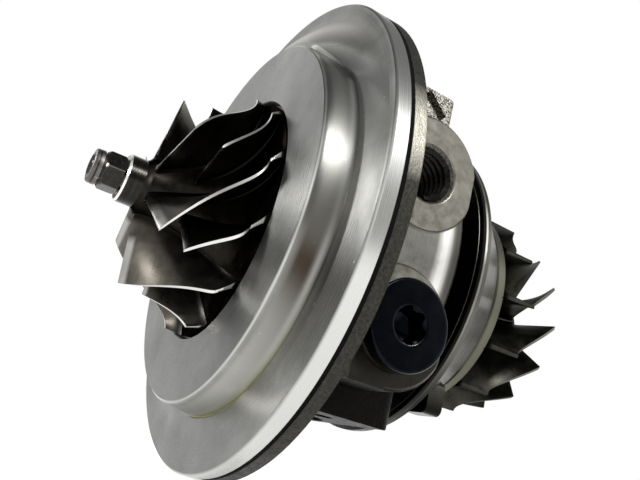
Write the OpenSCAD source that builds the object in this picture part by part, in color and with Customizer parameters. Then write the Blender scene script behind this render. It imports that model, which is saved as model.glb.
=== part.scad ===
// Turbo cartridge: the rotor of a small exhaust turbocharger in its water-cooled bearing housing.
// X runs along the shaft towards the compressor, Z is up as installed, with the oil drain below.
// The origin is on the shaft axis, at the back of the backplate's pilot rim.

/* [Backplate] */
// Radius of the rim and of the flange behind it, which locate the compressor cover
rim_r = 51; // [49:0.5:54]
// Width of the pilot band on the rim
rim_w = 2.5; // [2:0.1:3]
// Height of the flat diffuser face above the joint plane
diffuser_h = 9.1; // [8.5:0.1:11]
// Radius of the diffuser face
diffuser_r = 38.9; // [36:0.1:41]
// Height of the scroll floor above the joint plane
floor_h = 3.0; // [2.6:0.1:4]
// Angle of the scroll's tongue, from +Y towards +Z
tongue_angle = 54; // [30:1:80]

/* [Compressor wheel] */
// Radius at the blades' outer ends
exducer_r = 25.5; // [24:0.1:27]
// Height of the blades at their outer ends
exducer_w = 2.5; // [2.2:0.1:3.4]
// Radius at the tips of the inlet edges
inducer_r = 19.7; // [18:0.1:21]
// Length of the wheel from its back face to its nose
compressor_l = 23.1; // [22:0.1:26]
// Radius of the hub's nose
nose_r = 4.9; // [4.6:0.1:5.6]
// Number of long blades, with as many short ones between them
blade_pairs = 6; // [5:1:7]
// Angle that a blade turns through from inlet to outlet
compressor_wrap = 48.5; // [40:0.5:56]

/* [Turbine wheel] */
// Radius of the back disc and of the blades' inlet edges
turbine_r = 24; // [22:0.1:25]
// Radius at the blades' outlet tips
turbine_exit_r = 20.5; // [19:0.1:22]
// Length of the blades' inlet edges
turbine_inlet_w = 9.2; // [8:0.1:10]
// Length of the wheel along the shaft, from the back disc to the outlet
turbine_l = 22; // [20:0.1:24]
// Number of blades
turbine_blades = 13; // [10:1:14]
// Angle that a blade turns through from inlet to outlet
turbine_wrap = 24; // [15:1:35]

/* [Shaft and bearings] */
// Radius of the bearing journals
journal_r = 3.5; // [3.2:0.05:3.8]
// Radius of the threaded end that carries the compressor wheel
stud_r = 2.5; // [2.3:0.05:2.7]
// Wall of a floating bush
bush_wall = 2.2; // [1.8:0.1:2.6]
// Length of a floating bush
bush_l = 7; // [6:0.1:8]
// Distance between the middles of the two bushes
bush_span = 17; // [16:0.1:18]
// Radial clearance of a bush, inside and outside
bush_gap = 0.04; // [0.02:0.01:0.08]
// Distance across the flats of the compressor nut
nut_flats = 7; // [6.6:0.1:8]

/* [Bearing housing] */
// Thickness of the compressor-side flange at its edge
flange_t = 2.5; // [2:0.1:3.5]
// Radius of the round core
core_r = 33.5; // [32:0.1:34]
// Distance from the joint plane to the back of the core
core_l = 27.8; // [27:0.1:29]
// Width of the cooling slot behind the core
slot_w = 3.7; // [3:0.1:5]
// Radius of the housing inside the cooling slot
slot_r = 21; // [19:0.5:23]
// Radius of the turbine-side flange
turbine_flange_r = 34.3; // [33.8:0.1:36]
// How far the faces of the water ports stand out of the core
port_stand = 0.8; // [0.5:0.1:2]
// Height of the open water port above the shaft axis
port_z = 12.7; // [12:0.1:14]
// Depth of the plugged water port below the shaft axis
plug_drop = 17.3; // [16.5:0.1:18]
// Radius of a water port's drilling, tapped with a fine thread
port_r = 5.25; // [5:0.05:5.5]
// Radius of the boss round a water port
port_boss_r = 11.4; // [11:0.1:12.4]
// How far the oil inlet pad stands out of the core
inlet_stand = 3.4; // [2.5:0.1:5]
// How far the oil drain pad stands out of the core
drain_stand = 0.7; // [0.5:0.1:3]
// Radius of the oil drain
drain_r = 8; // [7:0.1:8.5]
// Distance between the two bolt holes of the drain pad
drain_bolt_span = 29; // [28:0.1:30]

/* [Hidden] */
$fn = 96;

// Clearances between pieces
cut = 1;               // how far a cutting tool runs past the face it opens
thread_gap = 0.05;     // between a screw and its tapped hole
seat_gap = 0.1;        // between a loose piece and the pocket that holds it
run_gap = 0.4;         // between a turning piece and a standing one
piston_gap = 0.15;     // between a seal ring and the sides of its groove
seal_gap = 0.2;        // between a turning hub and the bore round it

// Backplate
seal_w = 0.75;         // width of the seal ring's groove between rim and flange
seal_depth = 2.4;      // depth of that groove
rim_bevel = 0.75;      // bevel at the front of the rim
wall_lean = 1.1;       // how far the scroll wall leans out at its foot
edge_r = 0.5;          // rounding at the top of the scroll wall
scroll_sink = 0.4;     // how far the raised scroll floor starts below the flat one
scroll_under = 0.05;   // how far it stays below the diffuser face at the tongue
scroll_in_r = diffuser_r - 1;
scroll_out_r = rim_r - rim_bevel - edge_r;
tongue_drop = 14;      // angle over which the floor falls away at the tongue
tongue_sweep = 2.4;    // degrees that the tongue's edge trails for each millimetre outwards
scroll_level = 100;    // angle from the tongue where the floor starts to rise again
scroll_power = 1.3;    // how late the floor rises

// Compressor wheel
disc_t = 1.1;          // thickness of the back disc at its edge
blade_t = 0.9;         // thickness of a blade at its root
blade_tip_t = 0.6;     // thickness of a blade at its edge
blade_sink = 0.6;      // how deep a blade's root reaches into its hub
blade_inset = 0.1;     // how far the blades stop short of their disc's edge
wheel_back = diffuser_h - disc_t;
recess_x = wheel_back - run_gap - seal_gap;
recess_r = exducer_r + run_gap + seal_gap;
nose_x = wheel_back + compressor_l;
nose_l = 4.6;          // length of the plain nose ahead of the blades
hub_step = 1.1;        // step from the nose down to the hub
hub_front_r = nose_r + hub_step;
eye_x = nose_x - nose_l;
inducer_rake = 1.7;    // how far the inlet edges lean back at their tips
inducer_x = eye_x - inducer_rake;
splitter_start = 0.28; // where a short blade starts, as a share of a long one's length
compressor_phase = -36; // angle of the first long blade's inlet edge
wrap_ease = 0.8;       // how much more a compressor blade turns at its inlet than at its outlet

// Compressor nut and the shaft's end
nut_hex_l = 2.9;
nut_collar_l = 2.9;
nut_collar_r = nut_flats / 2;
nut_ring_count = 3;    // grooves turned in the collar
nut_ring_w = 0.5;
nut_ring_pitch = 0.8;
nut_ring_depth = 0.25;
stud_out = 0.6;        // how far the shaft's end stands out of the nut
stud_bevel = 0.4;
nut_end_x = nose_x + nut_hex_l + nut_collar_l;

// Thrust pack behind the backplate
flinger_r = 7;
flinger_disc_r = 9.8;
flinger_disc_t = 1.5;
flinger_back = -2;
seal_bore_r = flinger_r + seal_gap;
groove_x = 3.1;        // front of the compressor seal ring's groove, seen from the joint plane
groove_w = 1.5;
groove_depth = 1.4;
ring_t = 1.2;          // radial thickness of a seal ring
collar_r = 6;
collar_disc_r = 9.6;
collar_disc_t = 1.8;
thrust_play = 0.25;    // oil gap on each side of the thrust bearing
thrust_front = flinger_back - thrust_play;
thrust_t = 2.7;
thrust_back = thrust_front - thrust_t;
thrust_bore_r = collar_r + seal_gap;
collar_back = thrust_back - thrust_play - collar_disc_t;
thrust_r = 15.9;
oil_slot_count = 6;    // oil slots across the thrust bearing's face
oil_slot_start = 30;   // angle of the first of them, between two screws
oil_slot_w = 1.2;
oil_slot_depth = 0.3;
thrust_screw_r = 1.25;
thrust_screw_head_r = 2.1;
thrust_screw_head_l = 1.1;
thrust_screw_l = 6;
thrust_screw_pcr = 13; // radius of the circle of thrust bearing screws
thrust_screw_count = 3;
deflector_t = 0.8;
deflector_r = 17.1;
deflector_bore_r = flinger_disc_r + run_gap;
deflector_lip_w = 9;
deflector_lip_l = 1;   // how far the drip lip stands back from the deflector
deflector_lip_h = 3;
deflector_lip_drop = 1; // from the deflector's bore down to the lip
thrust_drain_r = 2.2;
thrust_drain_drop = 13;
pocket_back = collar_back - run_gap - seal_gap;

// Screws of the backplate
plate_screw_r = 2.5;
plate_screw_head_r = 4.2;
plate_screw_head_l = 3.4;
plate_screw_l = 12;
plate_screw_pcr = 21.3;
plate_screw_count = 4;
plate_screw_key = 4;   // across the flats of the socket
plate_screw_sink = 0.3; // how far a head lies below the recess
plate_screw_seat = recess_x - plate_screw_head_l - plate_screw_sink;
key_floor = 0.4;       // share of a screw's head that is left below its socket

// Bearings
bush_r = journal_r + bush_gap + bush_wall;
bore_r = bush_r + bush_gap;
bush_inset = 6.5;      // from the thrust pocket to the middle of the front bush
front_bush_x = pocket_back - bush_inset;
rear_bush_x = front_bush_x - bush_span;
bush_hole_r = 0.8;
bush_hole_count = 4;
bush_slack = 0.15;     // end play of a bush between its circlips
circlip_w = 0.9;
circlip_depth = 0.7;
circlip_in = 0.9;
circlip_gap_a = 40;    // angle of the opening in a circlip
circlip_slack = 0.05;  // on each side of a circlip in its groove
oil_groove_w = 2.4;
oil_groove_depth = 0.6;
middle_r = 9;          // radius of the oil space between the bushes
bush_land = 2.2;       // bore beyond a bush, up to that space

// Housing outside
flange_x = -seal_w;
flange_back = flange_x - flange_t;
flange_web_w = 5;      // width of the sloped root between flange and core
flange_web_r = core_r + flange_web_w;
flange_cone = 2.2;     // how much the flange thickens from its edge to that root
flange_web_x = flange_back - flange_cone;
core_front = flange_web_x - flange_web_w / 2;
core_bevel = 1;
slot_back = -core_l - slot_w;
turbine_edge_w = 1.5;
turbine_bevel = 0.8;   // bevel on the slot side of the turbine flange
turbine_bevel_w = 0.3;
turbine_taper = 2.4;   // how much the turbine flange thickens towards its root
turbine_face = slot_back - turbine_edge_w;
port_x = -16.2;
port_face_y = core_r + port_stand;
port_thread_l = 11;
port_depth = 18;
port_way_r = 4.2;
port_bevel = 0.85;
boss_bevel = 0.6;
boss_trim = 1.3;       // how far the bosses are faced off short of the core's back
pad_l = 21;
pad_inset = 0.8;       // from the core's back to the oil pads
pad_x = pad_l / 2 - core_l + pad_inset; // middle of the oil pads along the shaft
pad_half_w = 23;
pad_corner = 2;
pad_edge = 1.3;        // rounding along the top of a pad, at its front and back
inlet_h = core_r + inlet_stand;
inlet_thread_r = 4.5;
inlet_thread_l = 11;
oil_way_r = 1.6;
inlet_offset = 2;      // from the front bush back to the oil inlet
inlet_x = front_bush_x - inlet_offset;
drain_roof = 1.8;      // metal left between the drain and the bearing bore
drain_top = bore_r + drain_roof;
drain_x = pad_x;
drain_drop = core_r + drain_stand;
drain_bolt_r = 2.5;
drain_bolt_l = 10;
notch_w = 2.2;
notch_l = 6.5;
notch_depth = 2.2;
notch_angle = 40;
notch_offset = 5;      // from the middle of the pad to the middle of the notch
notch_drop = 3.2;      // from the top of the pad to the middle of the notch
jacket_in = 13;
jacket_out = 24;
jacket_half_l = 5.2;
jacket_half_a = 40;    // the water jacket runs round the side that carries the ports

// Turbine end
shield_t = 1;
shield_inset = 0.2;    // from the flange's edge in to the shield's rim
shield_lip = 0.6;      // width of the flat rim
shield_curve = 1.2;    // bend from the rim into the cone
shield_corner = 0.7;   // bend from the cone into the end face
shield_seat_w = 4;     // width of the flat that the shield's rim sits on
tab_inset = 4.5;       // from the turbine flange back to the shield's tab
tab_l = 4;
tab_w = 9;
tab_h = 7;
tab_corner = 1.5;
tab_y = 14.3;
tab_z = -24.7;
shield_rim_r = turbine_flange_r - shield_inset;
shield_shoulder_r = shield_rim_r - shield_lip;
shield_end_r = turbine_r + shield_inset;
shield_l = 12.3;       // from the turbine flange to the shield's end face
shield_end = turbine_face - shield_l;
turbine_back = shield_end - run_gap;
turbine_disc_t = 2.4;
turbine_root = turbine_back - turbine_disc_t;
turbine_end = turbine_back - turbine_l;
turbine_nose_r = 6.4;
turbine_nose_l = 2.2;
turbine_nose_bevel = 1.2;
turbine_nose_land = 0.6; // plain hub beyond the blades, before that bevel
turbine_blade_t = 1.4;
turbine_tip_t = 0.8;
turbine_phase = 0.5;
seal_hub_r = 7.5;
seal_hub_space = 2.4;  // from the last circlip to the seal hub
seal_hub_front = rear_bush_x - bush_l / 2 - circlip_w - seal_hub_space;
turbine_bore_r = seal_hub_r + seal_gap;
turbine_groove_x = seal_hub_front - groove_w;
tail_r = 12;           // radius of the housing's tail round the turbine seal
tail_shoulder = 2;     // from the turbine flange to the two steps of the tail
tail_neck = 6;
tail_end = shield_end + shield_t;

// Plug in the lower water port
washer_t = 0.6;
plug_r = 8.3;
plug_head_t = 3.2;
plug_l = 11;
plug_key = 6;
plug_key_depth = 5;
plug_edge = 0.4;
washer_inset = 0.3;    // from the plug's edge in to its washer

// Turned piece: each point is [radius, place along the shaft]
module turned(points) {
    rotate([0, 90, 0]) rotate_extrude() polygon(points);
}

// Round bar or drilling along the shaft, between two places
module bar(r, from, to) {
    translate([min(from, to), 0, 0]) rotate([0, 90, 0]) cylinder(r = r, h = abs(to - from));
}

// Plain turned ring
module ring(in_r, out_r, from, to) {
    turned([[in_r, from], [out_r, from], [out_r, to], [in_r, to]]);
}

// Copies round the shaft
module around(count, start = 0) {
    for (i = [0 : count - 1]) rotate([start + 360 / count * i, 0, 0]) children();
}

// Drilling or bar that points along +Y at a place on a port face
module port_at(z) {
    translate([port_x, 0, z]) rotate([-90, 0, 0]) children();
}

function mix(a, b, t) = a + (b - a) * t;
function smooth(t) = let (u = min(max(t, 0), 1)) u * u * (3 - 2 * u);
function on_wheel(x, r, a) = [x, r * cos(a), r * sin(a)];

// Hub and edge lines of the two wheels: each gives [place along the shaft, radius] for a share of the way
function compressor_hub(t) = [
    mix(eye_x, diffuser_h, sin(90 * t)),
    mix(exducer_r, hub_front_r, cos(90 * t))
];
function compressor_edge(t) = [
    mix(inducer_x, diffuser_h + exducer_w, sin(90 * t)),
    mix(exducer_r - blade_inset, inducer_r, cos(90 * t))
];
function turbine_hub(t) = [
    mix(turbine_end, turbine_root, cos(90 * t)),
    mix(turbine_r, turbine_nose_r, sin(90 * t))
];
function turbine_edge(t) = [
    mix(turbine_end, turbine_root - turbine_inlet_w, cos(90 * t)),
    mix(turbine_r - blade_inset, turbine_exit_r, sin(90 * t))
];

// The same hub lines, sunk below the surface to root the blades
function compressor_roots(t) =
    compressor_hub(t) - [blade_sink * sin(90 * t), blade_sink * cos(90 * t) + blade_inset * sin(90 * t)];
function turbine_roots(t) =
    turbine_hub(t) + [blade_sink * cos(90 * t), -blade_sink * sin(90 * t) - blade_inset * cos(90 * t)];

// Angle that a blade has turned through at a share of its length
function compressor_turn(t) = compressor_wrap * ((1 + wrap_ease) * t - wrap_ease * t * t);
function turbine_turn(t) = turbine_wrap * t * t;

// One blade: a skin of four corners at each step from its inlet to its outlet, rooted in the hub
module blade(root, edge, turn, root_t, edge_t, from, steps) {
    corners = [
        for (i = [0 : steps])
            let (
                t = mix(from, 1, i / steps),
                h = root(t),
                e = edge(t),
                a = turn(t),
                root_a = root_t / h[1] * 90 / PI,
                edge_a = edge_t / e[1] * 90 / PI
            )
            each [
                on_wheel(h[0], h[1], a - root_a),
                on_wheel(e[0], e[1], a - edge_a),
                on_wheel(e[0], e[1], a + edge_a),
                on_wheel(h[0], h[1], a + root_a)
            ]
    ];
    sides = [
        for (i = [0 : steps - 1], j = [0 : 3])
            let (a = 4 * i + j, b = 4 * i + (j + 1) % 4)
            each [[a, b, b + 4], [a, b + 4, a + 4]]
    ];
    last = 4 * steps;
    ends = [[0, 3, 2], [0, 2, 1], [last, last + 1, last + 2], [last, last + 2, last + 3]];
    polyhedron(points = corners, faces = concat(sides, ends));
}

// Share of its full rise that the scroll floor has at an angle past the tongue: it falls away there,
// stays flat for a stretch and then climbs all the way back. The tongue's edge trails as it runs outwards.
function scroll_share(past) =
    past < scroll_level
        ? 1 - smooth(past / tongue_drop)
        : pow((past - scroll_level) / (360 - scroll_level), scroll_power);
function scroll_fade(r) =
    (1 + cos(180 * min(max((r - diffuser_r) / (scroll_out_r - diffuser_r), 0), 1))) / 2;
function scroll_top(past, r) =
    floor_h - scroll_sink
    + (diffuser_h - scroll_under - floor_h + scroll_sink) * scroll_share(past) * scroll_fade(r);
function scroll_angle(past, r) = tongue_angle - past - tongue_sweep * (r - diffuser_r);

// Raised part of the scroll floor: a ring that is buried where the floor is flat
module scroll() {
    fall_steps = 6;
    rise_step = 6;
    bands = 7;
    stations = concat(
        [for (i = [0 : fall_steps]) tongue_drop / fall_steps * i],
        [for (past = [scroll_level / 2 : rise_step : 360 - rise_step]) past]
    );
    turns = len(stations);
    row = bands + 2;
    foot = floor_h - scroll_sink - cut;
    points = [
        for (past = stations)
            each concat(
                [for (j = [0 : bands - 1])
                    let (r = mix(scroll_in_r, scroll_out_r, j / (bands - 1)))
                    on_wheel(scroll_top(past, r), r, scroll_angle(past, r))],
                [on_wheel(foot, scroll_out_r, scroll_angle(past, scroll_out_r)),
                 on_wheel(foot, scroll_in_r, scroll_angle(past, scroll_in_r))]
            )
    ];
    faces = [
        for (i = [0 : turns - 1], j = [0 : row - 1])
            let (
                a = row * i + j,
                b = row * i + (j + 1) % row,
                c = row * ((i + 1) % turns) + (j + 1) % row,
                d = row * ((i + 1) % turns) + j
            )
            each [[a, b, c], [a, c, d]]
    ];
    polyhedron(points = points, faces = faces);
}

module backplate() {
    color("silver") difference() {
        union() {
            turned([
                [seal_bore_r, 0], [seal_bore_r, recess_x], [recess_r, recess_x], [recess_r, diffuser_h],
                [diffuser_r - edge_r, diffuser_h], [diffuser_r, diffuser_h - edge_r],
                [diffuser_r + wall_lean, floor_h], [rim_r - rim_bevel, floor_h + rim_bevel / 3],
                [rim_r, rim_w], [rim_r, 0]
            ]);
            scroll();
        }
        around(plate_screw_count, 45) translate([0, plate_screw_pcr, 0]) {
            bar(plate_screw_head_r + seat_gap, plate_screw_seat, recess_x + cut);
            bar(plate_screw_r + seat_gap, -cut, recess_x);
        }
    }
}

module backplate_seal() {
    color("black") ring(rim_r - seal_depth, rim_r - seat_gap, flange_x, 0);
}

// Socket screw along the shaft, its head's seat at x = 0 and its tip towards -X
module socket_screw(shank_r, length, head_r, head_l, key) {
    difference() {
        union() {
            bar(head_r, 0, head_l);
            bar(shank_r, -length, 0);
        }
        translate([head_l * key_floor, 0, 0]) rotate([0, 90, 0])
            cylinder(r = key / sqrt(3), h = head_l, $fn = 6);
    }
}

module backplate_screws() {
    color("dimgray") around(plate_screw_count, 45)
        translate([plate_screw_seat, plate_screw_pcr, 0])
            socket_screw(
                plate_screw_r, plate_screw_l, plate_screw_head_r, plate_screw_head_l, plate_screw_key
            );
}

module thrust_bearing_screws() {
    color("dimgray") around(thrust_screw_count, 90)
        translate([thrust_front, thrust_screw_pcr, 0])
            socket_screw(
                thrust_screw_r, thrust_screw_l, thrust_screw_head_r, thrust_screw_head_l, thrust_screw_r
            );
}

module oil_deflector() {
    color("lightsteelblue") {
        ring(deflector_bore_r, deflector_r, -deflector_t, 0);
        translate([
            -deflector_t - deflector_lip_l, -deflector_lip_w / 2,
            -deflector_bore_r - deflector_lip_drop - deflector_lip_h
        ])
            cube([deflector_lip_l + deflector_t / 2, deflector_lip_w, deflector_lip_h]);
    }
}

module thrust_bearing() {
    color("goldenrod") difference() {
        ring(thrust_bore_r, thrust_r, thrust_back, thrust_front);
        around(thrust_screw_count, 90) translate([0, thrust_screw_pcr, 0])
            bar(thrust_screw_r + seat_gap, thrust_back - cut, thrust_front + cut);
        translate([0, 0, -thrust_drain_drop]) bar(thrust_drain_r, thrust_back - cut, thrust_front + cut);
        around(oil_slot_count, oil_slot_start)
            translate([thrust_front - oil_slot_depth, thrust_bore_r - cut, -oil_slot_w / 2])
                cube([oil_slot_depth + cut, collar_disc_r - thrust_bore_r, oil_slot_w]);
    }
}

module compressor_seal_ring() {
    color("gray") ring(
        seal_bore_r - ring_t, seal_bore_r, groove_x + piston_gap, groove_x + groove_w - piston_gap
    );
}

module turbine_seal_ring() {
    color("gray") ring(
        turbine_bore_r - ring_t, turbine_bore_r,
        turbine_groove_x - groove_w + piston_gap, turbine_groove_x - piston_gap
    );
}

// Open spring ring in a groove of the bearing bore
module circlip(x) {
    difference() {
        ring(bore_r - circlip_in, bore_r + circlip_depth - seat_gap, x, x + circlip_w);
        rotate([90 - circlip_gap_a / 2, 0, 0]) translate([x - cut, 0, 0])
            cube([circlip_w + 2 * cut, 2 * bore_r, 2 * bore_r * sin(circlip_gap_a)]);
    }
}

// Places of the two circlips that keep a bush
function circlip_places(x) = [x + bush_l / 2 + bush_slack, x - bush_l / 2 - bush_slack - circlip_w];

module compressor_bearing_circlips() {
    color("slategray") for (x = circlip_places(front_bush_x)) circlip(x);
}

module turbine_bearing_circlips() {
    color("slategray") for (x = circlip_places(rear_bush_x)) circlip(x);
}

// Floating bush with its radial oil holes
module bush(x) {
    difference() {
        ring(journal_r + bush_gap, bush_r, x - bush_l / 2, x + bush_l / 2);
        around(bush_hole_count) translate([x, 0, 0]) cylinder(r = bush_hole_r, h = bush_r + cut);
    }
}

module compressor_journal_bearing() {
    color("darkgoldenrod") bush(front_bush_x);
}

module turbine_journal_bearing() {
    color("darkgoldenrod") bush(rear_bush_x);
}

module shaft() {
    color("lightgray") difference() {
        turned([
            [0, nut_end_x + stud_out], [stud_r - stud_bevel, nut_end_x + stud_out],
            [stud_r, nut_end_x + stud_out - stud_bevel],
            [stud_r, collar_back], [journal_r, collar_back], [journal_r, seal_hub_front],
            [seal_hub_r, seal_hub_front], [seal_hub_r, turbine_back], [0, turbine_back]
        ]);
        ring(seal_hub_r - groove_depth, seal_hub_r + cut, turbine_groove_x - groove_w, turbine_groove_x);
    }
}

module oil_flinger() {
    color("gainsboro") difference() {
        turned([
            [stud_r, flinger_back], [flinger_disc_r, flinger_back],
            [flinger_disc_r, flinger_back + flinger_disc_t], [flinger_r, flinger_back + flinger_disc_t],
            [flinger_r, recess_x], [collar_r, wheel_back], [stud_r, wheel_back]
        ]);
        ring(flinger_r - groove_depth, flinger_r + cut, groove_x, groove_x + groove_w);
    }
}

module thrust_collar() {
    color("gainsboro") turned([
        [stud_r, collar_back], [collar_disc_r, collar_back], [collar_disc_r, collar_back + collar_disc_t],
        [collar_r, collar_back + collar_disc_t], [collar_r, flinger_back], [stud_r, flinger_back]
    ]);
}

module compressor_wheel() {
    steps = 12;
    color("gray") difference() {
        union() {
            turned(concat(
                [[0, wheel_back], [exducer_r, wheel_back]],
                [for (i = [steps : -1 : 0]) let (p = compressor_hub(i / steps)) [p[1], p[0]]],
                [[nose_r, eye_x + hub_step], [nose_r, nose_x], [0, nose_x]]
            ));
            for (i = [0 : blade_pairs - 1]) {
                long_a = compressor_phase + 360 / blade_pairs * i;
                rotate([long_a, 0, 0]) blade(
                    function(t) compressor_roots(t), function(t) compressor_edge(t),
                    function(t) compressor_turn(t), blade_t, blade_tip_t, 0, steps
                );
                rotate([long_a + 180 / blade_pairs, 0, 0]) blade(
                    function(t) compressor_roots(t), function(t) compressor_edge(t),
                    function(t) compressor_turn(t), blade_t, blade_tip_t, splitter_start, steps - 4
                );
            }
        }
        bar(stud_r, wheel_back - cut, nose_x + cut);
    }
}

module compressor_nut() {
    color("dimgray") difference() {
        union() {
            translate([nose_x, 0, 0]) rotate([0, 90, 0])
                cylinder(r = nut_flats / sqrt(3), h = nut_hex_l, $fn = 6);
            bar(nut_collar_r, nose_x + nut_hex_l, nut_end_x);
        }
        bar(stud_r, nose_x - cut, nut_end_x + cut);
        for (i = [0 : nut_ring_count - 1])
            let (x = nut_end_x - nut_ring_pitch * (i + 1))
            ring(nut_collar_r - nut_ring_depth, nut_collar_r + cut, x, x + nut_ring_w);
    }
}

module turbine_wheel() {
    steps = 12;
    color("saddlebrown") union() {
        turned(concat(
            [[0, turbine_back], [turbine_r, turbine_back]],
            [for (i = [0 : steps - 1]) let (p = turbine_hub(i / steps)) [p[1], p[0]]],
            [
                [turbine_nose_r, turbine_end - turbine_nose_land],
                [turbine_nose_r - turbine_nose_bevel, turbine_end - turbine_nose_l],
                [0, turbine_end - turbine_nose_l]
            ]
        ));
        around(turbine_blades, turbine_phase) blade(
            function(t) turbine_roots(t), function(t) turbine_edge(t),
            function(t) turbine_turn(t), turbine_blade_t, turbine_tip_t, 0, steps
        );
    }
}

// Tab that stands out of the shield's cone, rooted in the middle of its wall
module shield_tab() {
    difference() {
        translate([turbine_face - tab_inset - tab_l, tab_y, tab_z]) rotate([90, 0, 90])
            linear_extrude(tab_l) round_bar(tab_w, tab_h, tab_corner);
        turned([
            [0, turbine_face - shield_t - shield_curve],
            [shield_shoulder_r - shield_curve - shield_t / sqrt(2), turbine_face - shield_t - shield_curve],
            [shield_end_r + shield_corner - shield_t / sqrt(2), shield_end + shield_corner + shield_t / 4],
            [0, shield_end + shield_corner + shield_t / 4]
        ]);
    }
}

module heat_shield() {
    color("lightgray") turned([
        [tail_r + run_gap, shield_end], [shield_end_r, shield_end],
        [shield_end_r + shield_corner, shield_end + shield_corner],
        [shield_shoulder_r - shield_curve, turbine_face - shield_t - shield_curve],
        [shield_shoulder_r, turbine_face - shield_t], [shield_rim_r, turbine_face - shield_t],
        [shield_rim_r, turbine_face], [shield_shoulder_r - shield_t, turbine_face],
        [shield_shoulder_r - shield_curve - shield_t * sqrt(2), turbine_face - shield_t - shield_curve],
        [shield_end_r + shield_corner - shield_t * sqrt(2), shield_end + shield_corner + shield_t / 2],
        [shield_end_r - shield_t, shield_end + shield_t], [tail_r + run_gap, shield_end + shield_t]
    ]);
    color("lightgray") shield_tab();
}

module port_plug() {
    face = port_face_y + washer_t;
    color([0.05, 0.05, 0.06]) port_at(-plug_drop) difference() {
        union() {
            translate([0, 0, face]) cylinder(r = plug_r, h = plug_head_t - plug_edge);
            translate([0, 0, face + plug_head_t - plug_edge])
                cylinder(r1 = plug_r, r2 = plug_r - plug_edge, h = plug_edge);
            translate([0, 0, face - plug_l]) cylinder(r = port_r - thread_gap, h = plug_l);
        }
        translate([0, 0, face + plug_head_t - plug_key_depth])
            cylinder(r = plug_key / sqrt(3), h = plug_key_depth + cut, $fn = 6);
    }
}

module port_plug_washer() {
    color("silver") port_at(-plug_drop) translate([0, 0, port_face_y]) difference() {
        cylinder(r = plug_r - washer_inset, h = washer_t);
        translate([0, 0, -cut]) cylinder(r = port_r + port_bevel, h = washer_t + 2 * cut);
    }
}

// Round boss that carries a water port, faced off just short of the core's back
module port_boss(z) {
    intersection() {
        port_at(z) {
            cylinder(r = port_boss_r, h = port_face_y - boss_bevel);
            translate([0, 0, port_face_y - boss_bevel])
                cylinder(r1 = port_boss_r, r2 = port_boss_r - boss_bevel, h = boss_bevel);
        }
        translate([boss_trim - core_l, 0, -rim_r]) cube([core_l - boss_trim, rim_r, 2 * rim_r]);
    }
}

module port_drilling(z) {
    port_at(z) {
        translate([0, 0, port_face_y - port_thread_l]) cylinder(r = port_r, h = port_thread_l + cut);
        translate([0, 0, port_face_y - port_depth]) cylinder(r = port_way_r, h = port_depth);
        translate([0, 0, port_face_y - port_bevel])
            cylinder(r1 = port_r, r2 = port_r + port_bevel, h = port_bevel);
    }
}

// Flat shape of a pad: a rectangle with round corners
module round_bar(length, width, corner) {
    square([length - 2 * corner, width], center = true);
    square([length, width - 2 * corner], center = true);
    for (x = [-1, 1], y = [-1, 1])
        translate([x * (length / 2 - corner), y * (width / 2 - corner)]) circle(corner);
}

// Pad across the housing, from the shaft axis up to a height, with its corners and top edges rounded
module pad(height) {
    translate([pad_x, 0, 0]) intersection() {
        linear_extrude(height) round_bar(pad_l, 2 * pad_half_w, pad_corner);
        rotate([90, 0, 0]) linear_extrude(2 * pad_half_w, center = true)
            round_bar(pad_l, 2 * height, pad_edge);
    }
}

module housing_body() {
    turned([
        [0, 0], [rim_r - seal_depth, 0], [rim_r - seal_depth, flange_x], [rim_r, flange_x],
        [rim_r, flange_back], [flange_web_r, flange_web_x], [core_r, core_front],
        [core_r, core_bevel - core_l], [core_r - core_bevel, -core_l], [slot_r, -core_l],
        [slot_r, slot_back + turbine_taper], [turbine_flange_r - turbine_bevel, slot_back],
        [turbine_flange_r, slot_back - turbine_bevel_w], [turbine_flange_r, turbine_face],
        [shield_shoulder_r - shield_seat_w, turbine_face], [slot_r, turbine_face - tail_shoulder],
        [tail_r, turbine_face - tail_neck],
        [tail_r, tail_end], [0, tail_end]
    ]);
    port_boss(port_z);
    port_boss(-plug_drop);
    // The plugged port's face runs on to the flange, below the plug
    translate([port_x, 0, -plug_drop - port_boss_r])
        cube([flange_web_x - port_x, port_face_y, port_boss_r]);
    pad(inlet_h);
    mirror([0, 0, 1]) pad(drain_drop);
}

module housing_bores() {
    turned([
        [0, cut], [deflector_r + seat_gap, cut], [deflector_r + seat_gap, -deflector_t],
        [thrust_r + seat_gap, -deflector_t], [thrust_r + seat_gap, thrust_back],
        [collar_disc_r + run_gap, thrust_back], [collar_disc_r + run_gap, pocket_back], [0, pocket_back]
    ]);
    bar(bore_r, pocket_back + cut, seal_hub_front);
    bar(turbine_bore_r, seal_hub_front + cut, tail_end - cut);
    bar(middle_r, front_bush_x - bush_l / 2 - bush_land, rear_bush_x + bush_l / 2 + bush_land);
    for (b = [front_bush_x, rear_bush_x]) {
        for (x = circlip_places(b))
            ring(bore_r - cut, bore_r + circlip_depth, x - circlip_slack, x + circlip_w + circlip_slack);
        ring(bore_r - cut, bore_r + oil_groove_depth, b - oil_groove_w / 2, b + oil_groove_w / 2);
    }
}

// Drilling from the foot of the oil inlet down to a bush
module oil_way(bush_x) {
    top = inlet_h - inlet_thread_l + cut;
    run = [bush_x - inlet_x, journal_r - top];
    translate([inlet_x, 0, top]) rotate([0, 90 - atan2(run[1], run[0]), 0])
        cylinder(r = oil_way_r, h = norm(run));
}

// Cooling water space that both ports open into
module water_jacket() {
    rotate([0, 90, 0]) rotate([0, 0, 90 - jacket_half_a]) rotate_extrude(angle = 2 * jacket_half_a)
        translate([jacket_in, port_x - jacket_half_l]) square([jacket_out - jacket_in, 2 * jacket_half_l]);
}

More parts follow.
